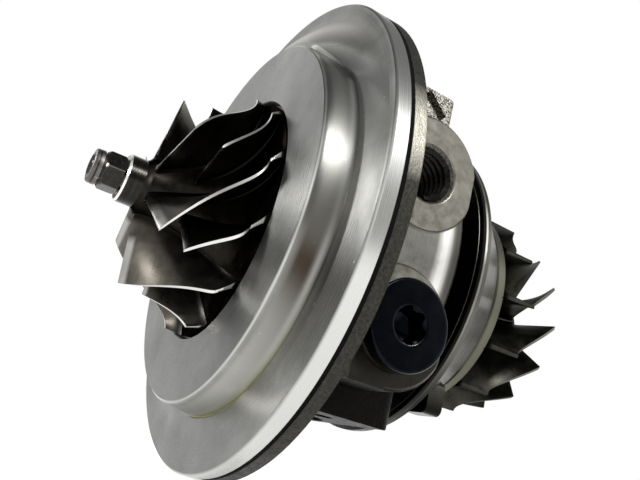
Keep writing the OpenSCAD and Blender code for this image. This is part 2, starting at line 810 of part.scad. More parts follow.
module bearing_housing() {
    color("darkgray") difference() {
        housing_body();
        housing_bores();
        port_drilling(port_z);
        port_drilling(-plug_drop);
        // Oil feed: a tapped hole in the pad and a drilling from it to each bush
        translate([inlet_x, 0, inlet_h - inlet_thread_l])
            cylinder(r = inlet_thread_r, h = inlet_thread_l + cut);
        for (b = [front_bush_x, rear_bush_x]) oil_way(b);
        // Oil drain from the space between the bushes, and from the thrust bearing's pocket
        translate([drain_x, 0, -drain_drop - cut]) cylinder(r = drain_r, h = drain_drop + cut - drain_top);
        translate([0, 0, -thrust_drain_drop]) bar(thrust_drain_r, drain_x, thrust_back + cut);
        water_jacket();
        for (y = [-1, 1]) translate([drain_x, y * drain_bolt_span / 2, -drain_drop - cut])
            cylinder(r = drain_bolt_r, h = drain_bolt_l + cut);
        // Tapped holes for the screws
        around(plate_screw_count, 45) translate([0, plate_screw_pcr, 0])
            bar(plate_screw_r + thread_gap, plate_screw_seat - plate_screw_l - cut, cut);
        around(thrust_screw_count, 90) translate([0, thrust_screw_pcr, 0])
            bar(thrust_screw_r + thread_gap, thrust_front - thrust_screw_l - cut, thrust_back + cut);
        // Relief cast into the side of the oil inlet pad
        translate([pad_x - notch_offset, pad_half_w - notch_depth, inlet_h - notch_drop])
            rotate([0, -notch_angle, 0]) translate([-notch_l / 2, 0, -notch_w / 2])
                cube([notch_l, notch_depth + cut, notch_w]);
    }
}

bearing_housing();
backplate();
backplate_seal();
backplate_screws();
oil_deflector();
thrust_bearing();
thrust_bearing_screws();
compressor_seal_ring();
turbine_seal_ring();
compressor_bearing_circlips();
turbine_bearing_circlips();
heat_shield();
port_plug();
port_plug_washer();
shaft();
turbine_wheel();
compressor_wheel();
compressor_nut();
oil_flinger();
thrust_collar();
compressor_journal_bearing();
turbine_journal_bearing();
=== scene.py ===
# Turbo cartridge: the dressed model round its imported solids, in metres and in the same frame.
# X runs along the shaft towards the compressor, and Z is up as installed.

import math

import bmesh
import bpy
import numpy as np
from mathutils import Matrix


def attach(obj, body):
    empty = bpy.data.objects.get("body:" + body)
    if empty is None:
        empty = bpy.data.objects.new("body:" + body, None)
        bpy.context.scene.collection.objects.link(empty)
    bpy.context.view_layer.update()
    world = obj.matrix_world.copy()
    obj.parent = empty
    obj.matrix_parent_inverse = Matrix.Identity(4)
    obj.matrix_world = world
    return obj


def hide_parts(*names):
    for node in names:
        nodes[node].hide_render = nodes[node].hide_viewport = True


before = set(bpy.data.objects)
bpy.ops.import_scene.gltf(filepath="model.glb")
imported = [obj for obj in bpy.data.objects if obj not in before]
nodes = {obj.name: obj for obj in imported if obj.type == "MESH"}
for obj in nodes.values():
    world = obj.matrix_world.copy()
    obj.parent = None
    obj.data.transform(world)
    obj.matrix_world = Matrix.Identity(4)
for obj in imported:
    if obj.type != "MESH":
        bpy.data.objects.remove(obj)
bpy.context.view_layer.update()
mm = 0.001


# Bearing housing
# The core of the cartridge is an iron casting. Its skin is grainy from the sand mould,
# and its round core, port faces and turbine flange are turned bright afterwards.


def new_finish(name):
    """An empty metal: its material, its node tree and its shader."""
    finish = bpy.data.materials.new(name)
    finish.use_nodes = True
    tree = finish.node_tree
    shader = tree.nodes["Principled BSDF"]
    shader.inputs["Metallic"].default_value = 1.0
    return finish, tree, shader


def grain(tree, where, size_mm, detail=4.0, roughness=0.55):
    """Noise with grains of about this size."""
    noise = tree.nodes.new("ShaderNodeTexNoise")
    noise.inputs["Scale"].default_value = 1.0 / (size_mm * mm)
    noise.inputs["Detail"].default_value = detail
    noise.inputs["Roughness"].default_value = roughness
    tree.links.new(where, noise.inputs["Vector"])
    return noise.outputs["Fac"]


def blend_colour(tree, amount, low, high):
    """Colour that goes from low to high as the amount goes through its two limits."""
    ramp = tree.nodes.new("ShaderNodeValToRGB")
    ramp.color_ramp.elements[0].position = low[0]
    ramp.color_ramp.elements[0].color = (*low[1], 1.0)
    ramp.color_ramp.elements[1].position = high[0]
    ramp.color_ramp.elements[1].color = (*high[1], 1.0)
    tree.links.new(amount, ramp.inputs["Fac"])
    return ramp.outputs["Color"]


def blend_number(tree, amount, from_low, from_high, to_low, to_high):
    """Number that goes from one range to another, and stops at its ends."""
    step = tree.nodes.new("ShaderNodeMapRange")
    step.inputs["From Min"].default_value = from_low
    step.inputs["From Max"].default_value = from_high
    step.inputs["To Min"].default_value = to_low
    step.inputs["To Max"].default_value = to_high
    tree.links.new(amount, step.inputs["Value"])
    return step.outputs["Result"]


def dents(tree, shader, height, depth_mm, strength=1.0, below=None):
    """Bump on a shader. Another bump may lie below this one."""
    bump = tree.nodes.new("ShaderNodeBump")
    bump.inputs["Strength"].default_value = strength
    bump.inputs["Distance"].default_value = depth_mm * mm
    tree.links.new(height, bump.inputs["Height"])
    if below is not None:
        tree.links.new(below, bump.inputs["Normal"])
    tree.links.new(bump.outputs["Normal"], shader.inputs["Normal"])
    return bump.outputs["Normal"]


def object_place(tree):
    """A point's own place on its piece."""
    return tree.nodes.new("ShaderNodeTexCoord").outputs["Object"]


def calc(tree, what, first, second=None):
    """One sum of the Math node. A number is set on its socket, and anything else is linked."""
    node = tree.nodes.new("ShaderNodeMath")
    node.operation = what
    for socket, value in zip(node.inputs, (first, second)):
        if isinstance(value, (int, float)):
            socket.default_value = value
        elif value is not None:
            tree.links.new(value, socket)
    return node.outputs["Value"]


def shaft_place(tree, where):
    """Distance from the shaft axis, and the three places X, Y and Z."""
    split = tree.nodes.new("ShaderNodeSeparateXYZ")
    tree.links.new(where, split.inputs["Vector"])
    across = calc(tree, "MULTIPLY", split.outputs["Y"], split.outputs["Y"])
    up = calc(tree, "MULTIPLY", split.outputs["Z"], split.outputs["Z"])
    radius = calc(tree, "SQRT", calc(tree, "ADD", across, up))
    return radius, split.outputs["X"], split.outputs["Y"], split.outputs["Z"]


def lathe_rings(tree, where, size_mm, detail=3.0):
    """Noise that is the same all the way round the shaft, as a cutting tool leaves it."""
    radius, along, _, _ = shaft_place(tree, where)
    spread = calc(tree, "ADD", radius, calc(tree, "MULTIPLY", along, 1.7))
    noise = tree.nodes.new("ShaderNodeTexNoise")
    noise.noise_dimensions = "1D"
    noise.inputs["Scale"].default_value = 1.0 / (size_mm * mm)
    noise.inputs["Detail"].default_value = detail
    tree.links.new(spread, noise.inputs["W"])
    return noise.outputs["Fac"]


def band(tree, value, low_mm, high_mm, soft_mm=0.1):
    """Mask that is 1 between two places in millimetres, with soft ends."""
    rise = blend_number(tree, value, (low_mm - soft_mm) * mm, low_mm * mm, 0.0, 1.0)
    fall = blend_number(tree, value, high_mm * mm, (high_mm + soft_mm) * mm, 1.0, 0.0)
    return calc(tree, "MULTIPLY", rise, fall)


def paint_over(tree, under, mask, colour, how="MIX"):
    """Lays a colour over another one where a mask is set."""
    tone = tree.nodes.new("ShaderNodeMix")
    tone.data_type = "RGBA"
    tone.blend_type = how
    for socket, value in ((tone.inputs["A"], under), (tone.inputs["B"], colour)):
        if isinstance(value, tuple):
            socket.default_value = (*value, 1.0)
        else:
            tree.links.new(value, socket)
    if isinstance(mask, float):
        tone.inputs["Factor"].default_value = mask
    else:
        tree.links.new(mask, tone.inputs["Factor"])
    return tone.outputs["Result"]


def overlap(tree, *masks):
    """Mask that is set only where all of these are."""
    shared = masks[0]
    for mask in masks[1:]:
        shared = calc(tree, "MULTIPLY", shared, mask)
    return shared


def set_surface(tree, shader, colour, rough):
    """Links a shader's colour and its roughness."""
    tree.links.new(colour, shader.inputs["Base Color"])
    tree.links.new(rough, shader.inputs["Roughness"])


# Limits of the casting's areas in millimetres: X along the shaft, Y to the ports, Z up, and radii.
# Beyond lies past every surface.
beyond = 60.0
within_flange_r = 48.0
lug_foot_z = 27.5
underside_z = -26.0
flange_back_x = -8.5
flange_root_r = 36.0
flange_edge_r = 50.6
flange_highlight_y = 44.0
flange_highlight_z = (8.0, 13.0)
core_r = (33.0, 33.9)
core_x = (-27.9, -6.0)
core_highlight_x = (-24.0, -23.0)
core_shade_x = (-29.0, -26.0)
core_foot_z = -29.0
port_face_y = 34.1
port_face_x = (-40.0, -8.6)
port_face_foot_z = -22.0
turbine_flange_r = (33.4, 36.0)
turbine_flange_x = (-36.0, -31.4)
lip_shadow_x = (-32.4, -31.0)
edge_highlight_z = (3.0, 11.0)
edge_shade_z = -27.0
slot_r = 33.4
slot_x = (-31.42, -27.82)


def cast_iron_finish():
    """Grainy casting skin, with its turned and faced areas told apart by their place, and painted shade and
    painted highlights laid on by place.
    """
    finish, tree, shader = new_finish("housing casting")
    where = object_place(tree)
    radius, along, side, height = shaft_place(tree, where)
    coarse = grain(tree, where, 2.0, 5.0, 0.6)
    fine = grain(tree, where, 0.45, 4.0, 0.6)
    rings = lathe_rings(tree, where, 0.3)
    skin = blend_colour(tree, fine, (0.3, (0.06, 0.056, 0.049)), (0.75, (0.19, 0.182, 0.16)))
    patches = blend_colour(tree, coarse, (0.3, (0.62, 0.6, 0.57)), (0.7, (1.0, 1.0, 1.0)))
    skin = paint_over(tree, skin, 1.0, patches, "MULTIPLY")
    within_flange = band(tree, radius, 0.0, within_flange_r)
    # The oil inlet lug is left as it came out of the mould, dark in its pits
    lug = overlap(tree, band(tree, height, lug_foot_z, beyond, 1.5), within_flange)
    pits = blend_colour(tree, fine, (0.42, (0.035, 0.033, 0.028)), (0.6, (0.5, 0.475, 0.42)))
    skin = paint_over(tree, skin, lug, pits)
    # The part's bottom is painted near black, as painted shade beneath it
    underside_shade = overlap(tree, band(tree, height, -beyond, underside_z, 4.0), within_flange)
    skin = paint_over(tree, skin, underside_shade, (0.007, 0.0065, 0.006))
    # The flange keeps a brown skin on its edge and its back, and a painted highlight lies on its edge beside
    # the open port
    flange = overlap(
        tree,
        band(tree, along, flange_back_x, 0.0),
        band(tree, radius, flange_root_r, beyond, 1.0),
    )
    brown = blend_colour(tree, fine, (0.3, (0.02, 0.0195, 0.017)), (0.75, (0.052, 0.05, 0.043)))
    skin = paint_over(tree, skin, flange, brown)
    flange_highlight = overlap(
        tree,
        flange,
        band(tree, height, *flange_highlight_z, 7.0),
        band(tree, side, flange_highlight_y, beyond, 3.0),
        band(tree, radius, flange_edge_r, beyond),
    )
    skin = paint_over(tree, skin, flange_highlight, (0.42, 0.405, 0.345))
    # The round core is turned, with a painted highlight near its end and painted shade where it starts to
    # fall away
    core = overlap(
        tree,
        band(tree, radius, *core_r),
        band(tree, along, *core_x),
        band(tree, height, core_foot_z, beyond, 5.0),
    )
    satin = blend_colour(tree, rings, (0.3, (0.16, 0.156, 0.14)), (0.7, (0.22, 0.214, 0.193)))
    satin = paint_over(tree, satin, band(tree, along, *core_highlight_x, 1.5), (0.72, 0.715, 0.685))
    satin = paint_over(tree, satin, band(tree, along, *core_shade_x, 1.2), (0.07, 0.068, 0.06))
    skin = paint_over(tree, skin, core, satin)
    # The port faces are cut smooth, and painted shade darkens the lower one towards its foot
    port_faces = overlap(tree, band(tree, side, port_face_y, beyond, 0.05), band(tree, along, *port_face_x))
    smooth = blend_colour(tree, coarse, (0.3, (0.14, 0.133, 0.112)), (0.7, (0.23, 0.221, 0.19)))
    skin = paint_over(tree, skin, port_faces, smooth)
    low_face_shade = overlap(tree, port_faces, band(tree, height, -beyond, port_face_foot_z, 7.0))
    skin = paint_over(tree, skin, low_face_shade, (0.025, 0.024, 0.02))
    # The turbine flange's edge is turned, with a painted highlight at the side, painted shade below, and a
    # painted shadow at its front rim that carries on the slot's shadow
    turbine_flange = overlap(
        tree,
        band(tree, radius, *turbine_flange_r),
        band(tree, along, *turbine_flange_x),
    )
    skin = paint_over(tree, skin, turbine_flange, (0.2, 0.196, 0.172))
    edge_highlight = overlap(tree, turbine_flange, band(tree, height, *edge_highlight_z, 3.0))
    skin = paint_over(tree, skin, edge_highlight, (0.62, 0.61, 0.57))
    edge_shade = overlap(tree, turbine_flange, band(tree, height, -beyond, edge_shade_z, 18.0))
    skin = paint_over(tree, skin, edge_shade, (0.012, 0.0115, 0.01))
    lip_shadow = overlap(tree, turbine_flange, band(tree, along, *lip_shadow_x, 0.2))
    skin = paint_over(tree, skin, lip_shadow, (0.006, 0.006, 0.0055))
    # The cooling slot behind the core is deep, and painted black as painted shade
    slot = overlap(tree, band(tree, along, *slot_x, 0.02), band(tree, radius, 0.0, slot_r))
    skin = paint_over(tree, skin, slot, (0.004, 0.004, 0.004))
    worked = calc(tree, "MAXIMUM", core, calc(tree, "MAXIMUM", port_faces, turbine_flange))
    rough = blend_number(tree, coarse, 0.3, 0.7, 0.42, 0.58)
    rough = calc(tree, "SUBTRACT", rough, calc(tree, "MULTIPLY", worked, 0.16))
    set_surface(tree, shader, skin, rough)
    cast = calc(tree, "SUBTRACT", 1.0, calc(tree, "MULTIPLY", worked, 0.9))
    soft_edges = tree.nodes.new("ShaderNodeBevel")
    soft_edges.samples = 4
    soft_edges.inputs["Radius"].default_value = 0.35 * mm
    coarse_height = calc(tree, "MULTIPLY", coarse, cast)
    fine_height = calc(tree, "MULTIPLY", fine, cast)
    below = dents(tree, shader, coarse_height, 0.5, 0.5, soft_edges.outputs["Normal"])
    dents(tree, shader, fine_height, 0.2, 0.7, below)
    return finish


casting = cast_iron_finish()


def coat(mesh, finish):
    """Gives a mesh its one finish."""
    mesh.materials.clear()
    mesh.materials.append(finish)


def dress(finish, *solids):
    """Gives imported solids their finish."""
    for solid in solids:
        coat(nodes[solid].data, finish)


dress(casting, "bearing_housing")


def place(name, mesh, finish, body, slot, *stands_for):
    """Puts a finished mesh into the scene, on a body, in place of any solids it stands for."""
    piece = bpy.data.objects.new(name, mesh)
    bpy.context.scene.collection.objects.link(piece)
    coat(mesh, finish)
    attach(piece, body)
    if stands_for:
        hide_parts(*stands_for)


def skin_faces(rows, length, round_again=True, closed=True):
    """Faces between rows of points of one length.

    The last row may run round again to the first, and each row may be a closed loop.
    """
    faces = []
    for i in range(rows if round_again else rows - 1):
        here, ahead = i * length, (i + 1) % rows * length
        for j in range(length if closed else length - 1):
            k = (j + 1) % length
            faces.append((here + j, here + k, ahead + k, ahead + j))
    return faces


def shell(name, points, faces, sharp_angle):
    """A closed mesh: doubles merged, faces outwards, smooth up to an angle."""
    mesh = bpy.data.meshes.new(name)
    mesh.from_pydata(points, [], faces)
    work = bmesh.new()
    work.from_mesh(mesh)
    bmesh.ops.remove_doubles(work, verts=work.verts, dist=1e-7)
    bmesh.ops.recalc_face_normals(work, faces=work.faces)
    work.to_mesh(mesh)
    work.free()
    mesh.shade_smooth()
    mesh.set_sharp_from_angle(angle=math.radians(sharp_angle))
    return mesh


def thread_mesh(name, mouth, out, wall_r, pitch, length):
    """Helical ridge of a tapped hole, from its mouth inwards.

    Out is the axis that points out of the hole.
    """
    out = np.array(out, float)
    one = np.cross(out, (1.0, 0.0, 0.0))
    two = np.cross(out, one)
    steps = 40
    root_r = wall_r + 0.1
    crest_r = wall_r - 0.54 * pitch
    profile = [(root_r, 0.46), (crest_r, 0.08), (crest_r, -0.08), (root_r, -0.46)]
    points = []
    count = int(length / pitch * steps)
    for i in range(count + 1):
        a = math.tau * i / steps
        fade = min(1.0, i / steps, (count - i) / steps + 0.05)
        for r, along in profile:
            r = min(r, root_r - (root_r - r) * fade)
            spot = np.array(mouth) - out * (pitch * (0.6 + i / steps) + along * pitch)
            points.append(tuple((spot + (one * math.cos(a) + two * math.sin(a)) * r) * mm))
    faces = skin_faces(count + 1, 4, round_again=False)
    faces += [(0, 1, 2, 3), (4 * count, 4 * count + 1, 4 * count + 2, 4 * count + 3)]
    return shell(name, points, faces, 30)


def thread_finish():
    """Cut iron threads, dark with oil."""
    finish, tree, shader = new_finish("tapped iron")
    fine = grain(tree, object_place(tree), 0.5)
    tone = blend_colour(tree, fine, (0.3, (0.004, 0.004, 0.004)), (0.7, (0.02, 0.019, 0.017)))
    set_surface(tree, shader, tone, blend_number(tree, fine, 0.3, 0.7, 0.25, 0.4))
    dents(tree, shader, fine, 0.03, 0.5)
    return finish


# The mouth of each tapped hole, the way out of it, the radius of its wall, its pitch and its length
tapped_holes = {
    "water_port_thread": ((-16.2, 34.3, 12.7), (0, 1, 0), 5.25, 1.5, 9.5),
    "oil_inlet_thread": ((-16.1, 0.0, 36.9), (0, 0, 1), 4.5, 1.25, 9.0),
    "drain_thread_left": ((-16.5, 14.5, -34.2), (0, 0, -1), 2.5, 1.0, 8.0),
    "drain_thread_right": ((-16.5, -14.5, -34.2), (0, 0, -1), 2.5, 1.0, 8.0),
}
tapped_iron = thread_finish()
for name, hole in tapped_holes.items():
    place(name, thread_mesh(name, *hole), tapped_iron, "housing", "cast_housing")


# Bearings and thrust pack
# Two bronze bushes float on oil between shaft and housing, kept by spring steel circlips.
# The bronze thrust bearing, its screws and the pressed deflector lie behind the backplate.


def tool_marks(tree, shader, aniso):
    """Reflections stretched across the marks that a tool leaves round the shaft."""
    tangent = tree.nodes.new("ShaderNodeTangent")
    tangent.direction_type = "RADIAL"
    tangent.axis = "X"
    tree.links.new(tangent.outputs["Tangent"], shader.inputs["Tangent"])
    shader.inputs["Anisotropic"].default_value = aniso
    shader.inputs["Anisotropic Rotation"].default_value = 0.25


def turned_finish(name, colour, shine, ring_mm=0.35, depth_mm=0.02, spread=0.12, aniso=0.0, stripes=()):
    """Lathe-turned metal: fine rings in its colour, gloss and bump.

    Each stripe has the name of a place, its two limits, its softness and its colour.
    """
    finish, tree, shader = new_finish(name)
    where = object_place(tree)
    rings = lathe_rings(tree, where, ring_mm)
    bands = lathe_rings(tree, where, ring_mm * 7, 2.0)
    dark = tuple(c * (1 - spread) for c in colour)
    light = tuple(min(1.0, c * (1 + spread)) for c in colour)
    tone = blend_colour(tree, bands, (0.3, dark), (0.7, light))
    places = dict(zip(("radius", "x", "y", "z"), shaft_place(tree, where)))
    for place_name, low, high, soft, stripe_colour in stripes:
        mask = band(tree, places[place_name], low, high, soft)
        tone = paint_over(tree, tone, mask, stripe_colour)
    set_surface(tree, shader, tone, blend_number(tree, rings, 0.3, 0.7, shine * 0.8, shine * 1.2))
    dents(tree, shader, rings, depth_mm, 0.6)
    tool_marks(tree, shader, aniso)
    return finish


bronze = turned_finish("bearing bronze", (0.6, 0.42, 0.2), 0.3)
spring_steel = turned_finish("spring steel", (0.22, 0.23, 0.25), 0.32)
sheet_steel = turned_finish("pressed sheet steel", (0.5, 0.5, 0.52), 0.3)
ring_iron = turned_finish("seal ring iron", (0.3, 0.3, 0.3), 0.35)
black_steel = turned_finish("black screw steel", (0.07, 0.07, 0.08), 0.38)
dress(bronze, "compressor_journal_bearing", "turbine_journal_bearing", "thrust_bearing")
dress(spring_steel, "compressor_bearing_circlips", "turbine_bearing_circlips")
dress(sheet_steel, "oil_deflector")
dress(ring_iron, "compressor_seal_ring", "turbine_seal_ring")
dress(black_steel, "thrust_bearing_screws", "backplate_screws")


# Backplate
# The compressor side is closed by a turned aluminium plate on a rubber ring. Its floor climbs
# round the plate as a scroll, up to a tongue, and its rim pilots the compressor cover.

rim_r = 51.0
rim_bevel = 0.4
diffuser_h = 9.1
diffuser_r = 38.9
edge_r = 0.5
wall_lean = 1.1
floor_h = 3.0
rim_top = 2.7
recess_r = 26.1
recess_x = 7.4
face_r = 32.0
seal_bore_r = 7.2
tongue_angle = 54.0
tongue_drop = 14.0
tongue_early = 4.0
tongue_sweep = 2.4
scroll_level = 100.0
scroll_power = 1.3
scroll_sink = 0.4
scroll_under = 0.05
scroll_out_r = 49.75
scroll_blend = 0.35
floor_end_r = rim_r - rim_bevel
crease_r = diffuser_r + wall_lean + 0.05
crease_depth = 0.3
crease_end = 143.0

# Angles past the tongue, in degrees, between which the plate's areas lie
shelf_start = 312.0
shelf_end = 362.0
tongue_shade_end = 46.0
brown_reflection_middle = 73.0
oil_start = 70.0


def smooth_step(t):
    """0 up to 0, 1 from 1 on, and smooth between."""
    u = min(max(t, 0.0), 1.0)
    return u * u * (3 - 2 * u)


def hump(value, middle, half):
    """1 in the middle, and falling away on both sides of it."""
    return math.exp(-(((value - middle) / half) ** 2))


def scroll_share(past):
    """Share of its full rise that the floor has at an angle past the tongue."""
    ahead = past - 360 if past > 180 else past
    fall = 1 - smooth_step((ahead + tongue_early) / (tongue_drop + tongue_early))
    if past < scroll_level:
        return fall
    climb = ((past - scroll_level) / (360 - scroll_level)) ** scroll_power
    return climb * fall if past > 180 else climb


def crease_share(past, r):
    """Depth of the fine groove at the wall's foot, as a share. It runs out where the floor climbs."""
    start = smooth_step((past - tongue_drop * 0.6) / 6)
    end = smooth_step((crease_end - past) / 2)
    return hump(r, crease_r, 0.2) * start * end


def plate_height(past, r):
    """Height of the plate's front at a radius: wall, floor and rim, under the rising scroll."""
    plain = np.interp(
        r,
        [diffuser_r - edge_r, diffuser_r, diffuser_r + wall_lean, floor_end_r, rim_r],
        [diffuser_h, diffuser_h - edge_r, floor_h, rim_top + rim_bevel, rim_top],
    )
    out = min(max((r - diffuser_r) / (scroll_out_r - diffuser_r), 0), 1)
    fade = (1 + math.cos(math.pi * out)) / 2
    rise = diffuser_h - scroll_under - floor_h + scroll_sink
    raised = floor_h - scroll_sink + rise * scroll_share(past) * fade
    close = max(scroll_blend - abs(plain - raised), 0)
    return max(plain, raised) + close**2 / (4 * scroll_blend) - crease_depth * crease_share(past, r)


# Painted reflection streaks that run outwards on the turned metal: the angle of each, its half width and how
# much lighter it is
face_streaks = [(-2, 7, 0.8), (-30, 4, 0.7), (-46, 10, -0.45), (66, 15, 0.45)]
wall_streaks = [(-62, 14, 0.55), (50, 8, 0.6)]
floor_streaks = [(0, 8, 0.6), (-46, 9, 0.8), (-20, 6, -0.4)]


def streak_gain(angle, marks):
    """How much lighter the painted reflection streaks make the metal at an angle, where plain metal is 1."""
    return 1 + sum(more * hump(angle, middle, half) for middle, half, more in marks)


def plate_areas(past, r, x, angle):
    """Share that a point of the plate has in each area that the finish tells apart."""
    drop = 1 - scroll_share(past)
    on_wall = smooth_step((r - diffuser_r) / 0.3) * smooth_step((crease_r + 0.2 - r) / 0.2)
    on_floor = smooth_step((r - diffuser_r) / 1.3) * (r < floor_end_r)
    # Painted highlight along the wall's foot
    foot = 0.8 * hump(r, crease_r - 0.22, 0.1) * (tongue_drop < past < crease_end)
    slope = smooth_step(past / 9) * smooth_step((tongue_drop * 1.2 - past) / 5)
    painted_shade_hollow = smooth_step((tongue_shade_end - past) / 26)
    deep = smooth_step(past / 10) * painted_shade_hollow * smooth_step((47 - r) / 6)
    painted_light_shelf = smooth_step((past - shelf_start) / 30)
    high = painted_light_shelf * smooth_step((shelf_end - past) / 22)
    near_tongue = painted_light_shelf if past > 180 else painted_shade_hollow
    low_wall = smooth_step((12 - past) / 6) * smooth_step((r - diffuser_r + edge_r) / 0.3)
    marks = floor_streaks if r > crease_r else wall_streaks if r > diffuser_r - 0.3 else face_streaks
    return {
        "wall": on_wall * min(1, 3 * drop),
        # Painted reflection: a brown band on the wall
        "brown": on_wall * hump(past, brown_reflection_middle, 11),
        # Painted highlight along the face's edge and the wall's foot
        "edge": hump(r, diffuser_r - 0.22, 0.15) * drop + foot,
        "rim": 1.0 if r > rim_r - 0.1 else 0.0,
        "oil": crease_share(past, r) * smooth_step((past - oil_start) / 50),
        # Painted shade past the tongue, under its crest
        "painted_shade_hollow": on_floor * max(deep, slope * (r < 49)),
        # Painted light on the floor just before the tongue
        "painted_light_shelf": on_floor * high * smooth_step((50 - r) / 5),
        "matt": near_tongue * max(on_floor, low_wall * (r < floor_end_r)),
        # Painted highlight streak across the floor
        "painted_highlight_streak": on_floor * (x < diffuser_h - 1) * hump(angle + 61, 1.45 * (r - 40), 2.2),
        "reflection_streaks": streak_gain((angle + 180) % 360 - 180, marks),
    }


def mark_areas(mesh, areas):
    """Writes the shares of a mesh's points in their areas as attributes, which its finish reads."""
    for area in areas[0]:
        layer = mesh.attributes.new(area, "FLOAT", "POINT")
        layer.data.foreach_set("value", np.array([shares[area] for shares in areas], np.float32))


def backplate_mesh():
    """The plate as rows of points from its bore to its rim, at each angle past the tongue."""
    pasts = [tongue_drop * i / 14 for i in range(15)] + [tongue_drop + 2 + i * 2 for i in range(172)]
    pasts = [past for past in pasts if past < 359]
    radii = [
        *np.linspace(diffuser_r - edge_r, diffuser_r, 5),
        *np.linspace(diffuser_r + 0.1, crease_r - 0.25, 11),
        *np.linspace(crease_r - 0.2, crease_r + 0.5, 15),
        *np.linspace(crease_r + 0.9, scroll_out_r, 20),
        floor_end_r,
    ]
    points, areas = [], []
    for past in pasts:
        rows = [(seal_bore_r, 0.0), (seal_bore_r, recess_x - 0.4), (seal_bore_r + 0.4, recess_x)]
        rows += [(recess_r - 0.2, recess_x), (recess_r, recess_x + 0.2), (recess_r, diffuser_h - 0.15)]
        rows += [(recess_r + 0.15, diffuser_h), (face_r, diffuser_h)]
        rows += [(r, plate_height(past, r)) for r in radii]
        rows += [(rim_r, rim_top), (rim_r, 0.12), (rim_r - 0.12, 0.0)]
        for r, x in rows:
            sweep = tongue_sweep * (min(max(r, diffuser_r), scroll_out_r) - diffuser_r)
            a = math.radians(tongue_angle - past - sweep)
            points.append((x * mm, r * math.cos(a) * mm, r * math.sin(a) * mm))
            areas.append(plate_areas(past, r, x, math.degrees(a)))
    faces = skin_faces(len(pasts), len(points) // len(pasts))
    mesh = bpy.data.meshes.new("backplate_turned")
    mesh.from_pydata(points, [], faces)
    mark_areas(mesh, areas)
    mesh.flip_normals()
    mesh.shade_smooth()
    mesh.set_sharp_from_angle(angle=math.radians(40))
    return mesh


def area_mark(tree, area):
    """Share that the mesh gives a point in an area."""
    mark = tree.nodes.new("ShaderNodeAttribute")
    mark.attribute_name = area
    return mark.outputs["Fac"]


plate_colours = {
    # Painted reflection on the wall
    "brown": (0.05, 0.038, 0.028),
    # Painted light
    "painted_light_shelf": (0.36, 0.353, 0.338),
    # Painted shade
    "painted_shade_hollow": (0.11, 0.111, 0.108),
    # Painted highlight streak
    "painted_highlight_streak": (0.5, 0.49, 0.46),
    # Painted highlight along the face's edge
    "edge": (0.42, 0.42, 0.4),
    "rim": (0.48, 0.48, 0.462),
    "oil": (0.34, 0.34, 0.19),
}


def plate_finish():
    """Turned aluminium: fine rings, faint stains, a bright rim and oil in the groove, with painted
    highlights, painted shade, painted light and painted reflection streaks in the areas that the mesh marks.
    """
    finish, tree, shader = new_finish("turned plate aluminium")
    where = object_place(tree)
    rings = lathe_rings(tree, where, 0.22)
    stains = grain(tree, where, 12.0, 6.0, 0.62)
    specks = grain(tree, where, 0.9, 2.0, 0.5)
    tone = blend_colour(tree, stains, (0.3, (0.105, 0.105, 0.099)), (0.7, (0.19, 0.189, 0.18)))
    tone = paint_over(tree, tone, area_mark(tree, "wall"), (0.26, 0.258, 0.24))
    # Painted reflection streaks multiply the colour
    streak_tone = tree.nodes.new("ShaderNodeCombineColor")
    for channel in streak_tone.inputs:
        tree.links.new(area_mark(tree, "reflection_streaks"), channel)
    tone = paint_over(tree, tone, 1.0, streak_tone.outputs["Color"], "MULTIPLY")
    for area, colour in plate_colours.items():
        tone = paint_over(tree, tone, area_mark(tree, area), colour)
    scuffs = blend_number(tree, specks, 0.76, 0.79, 0.0, 0.6)
    tone = paint_over(tree, tone, scuffs, (0.8, 0.8, 0.8))
    rough = blend_number(tree, rings, 0.3, 0.7, 0.26, 0.36)
    for area, more in (("matt", 0.4), ("wall", 0.1)):
        rougher = calc(tree, "MULTIPLY", area_mark(tree, area), more)
        rough = calc(tree, "ADD", rough, rougher)
    set_surface(tree, shader, tone, rough)
    dents(tree, shader, rings, 0.012, 0.5)
    tool_marks(tree, shader, 0.55)
    return finish


plate_aluminium = plate_finish()
place("backplate_turned", backplate_mesh(), plate_aluminium, "housing", "turned_aluminium", "backplate")


def rubber_finish():
    """Matt black rubber."""
    finish, tree, shader = new_finish("seal rubber")
    shader.inputs["Metallic"].default_value = 0.0
    fine = grain(tree, object_place(tree), 0.4)
    tone = blend_colour(tree, fine, (0.3, (0.002, 0.002, 0.002)), (0.7, (0.006, 0.006, 0.006)))
    tree.links.new(tone, shader.inputs["Base Color"])
    shader.inputs["Roughness"].default_value = 0.8
    shader.inputs["Specular IOR Level"].default_value = 0.05
    dents(tree, shader, fine, 0.05, 0.5)
    return finish


dress(rubber_finish(), "backplate_seal")


# Heat shield
# A spun steel sheet closes the gap behind the turbine. It is pinched between the housing's
# flange and the turbine housing.

# Painted shade darkens the shield towards its bottom and along its inner rim, where it meets the turbine disc
shield_low_shade = ("z", -beyond, -27.0, 10.0, (0.008, 0.0075, 0.0065))
shield_rim_shade = ("x", -beyond, -44.8, 0.15, (0.004, 0.004, 0.0035))
shield_steel = turned_finish(
    "spun shield steel", (0.1, 0.098, 0.084), 0.3, ring_mm=0.5, depth_mm=0.015, aniso=0.5, stripes=[shield_low_shade, shield_rim_shade]
)
dress(shield_steel, "heat_shield")


# Plug and its washer
# The lower water port is closed by a blackened steel plug with a hexagon socket.
# It is screwed down on a soft aluminium washer.

plug_mid = (-16.2, 34.9, -17.3)
plug_r = 8.3
plug_head_t = 3.2
plug_l = 11.0
plug_round = 0.5
plug_key = 5.8
socket_mouth_r = 3.55
socket_l = 4.7
drill_point_l = 0.9
plug_thread_r = 5.2
plug_turn = 0.26


def hex_r(flats, a):
    """Radius of a hexagon at an angle."""
    sixth = math.pi / 3
    return flats / 2 / math.cos((a % sixth) - sixth / 2)


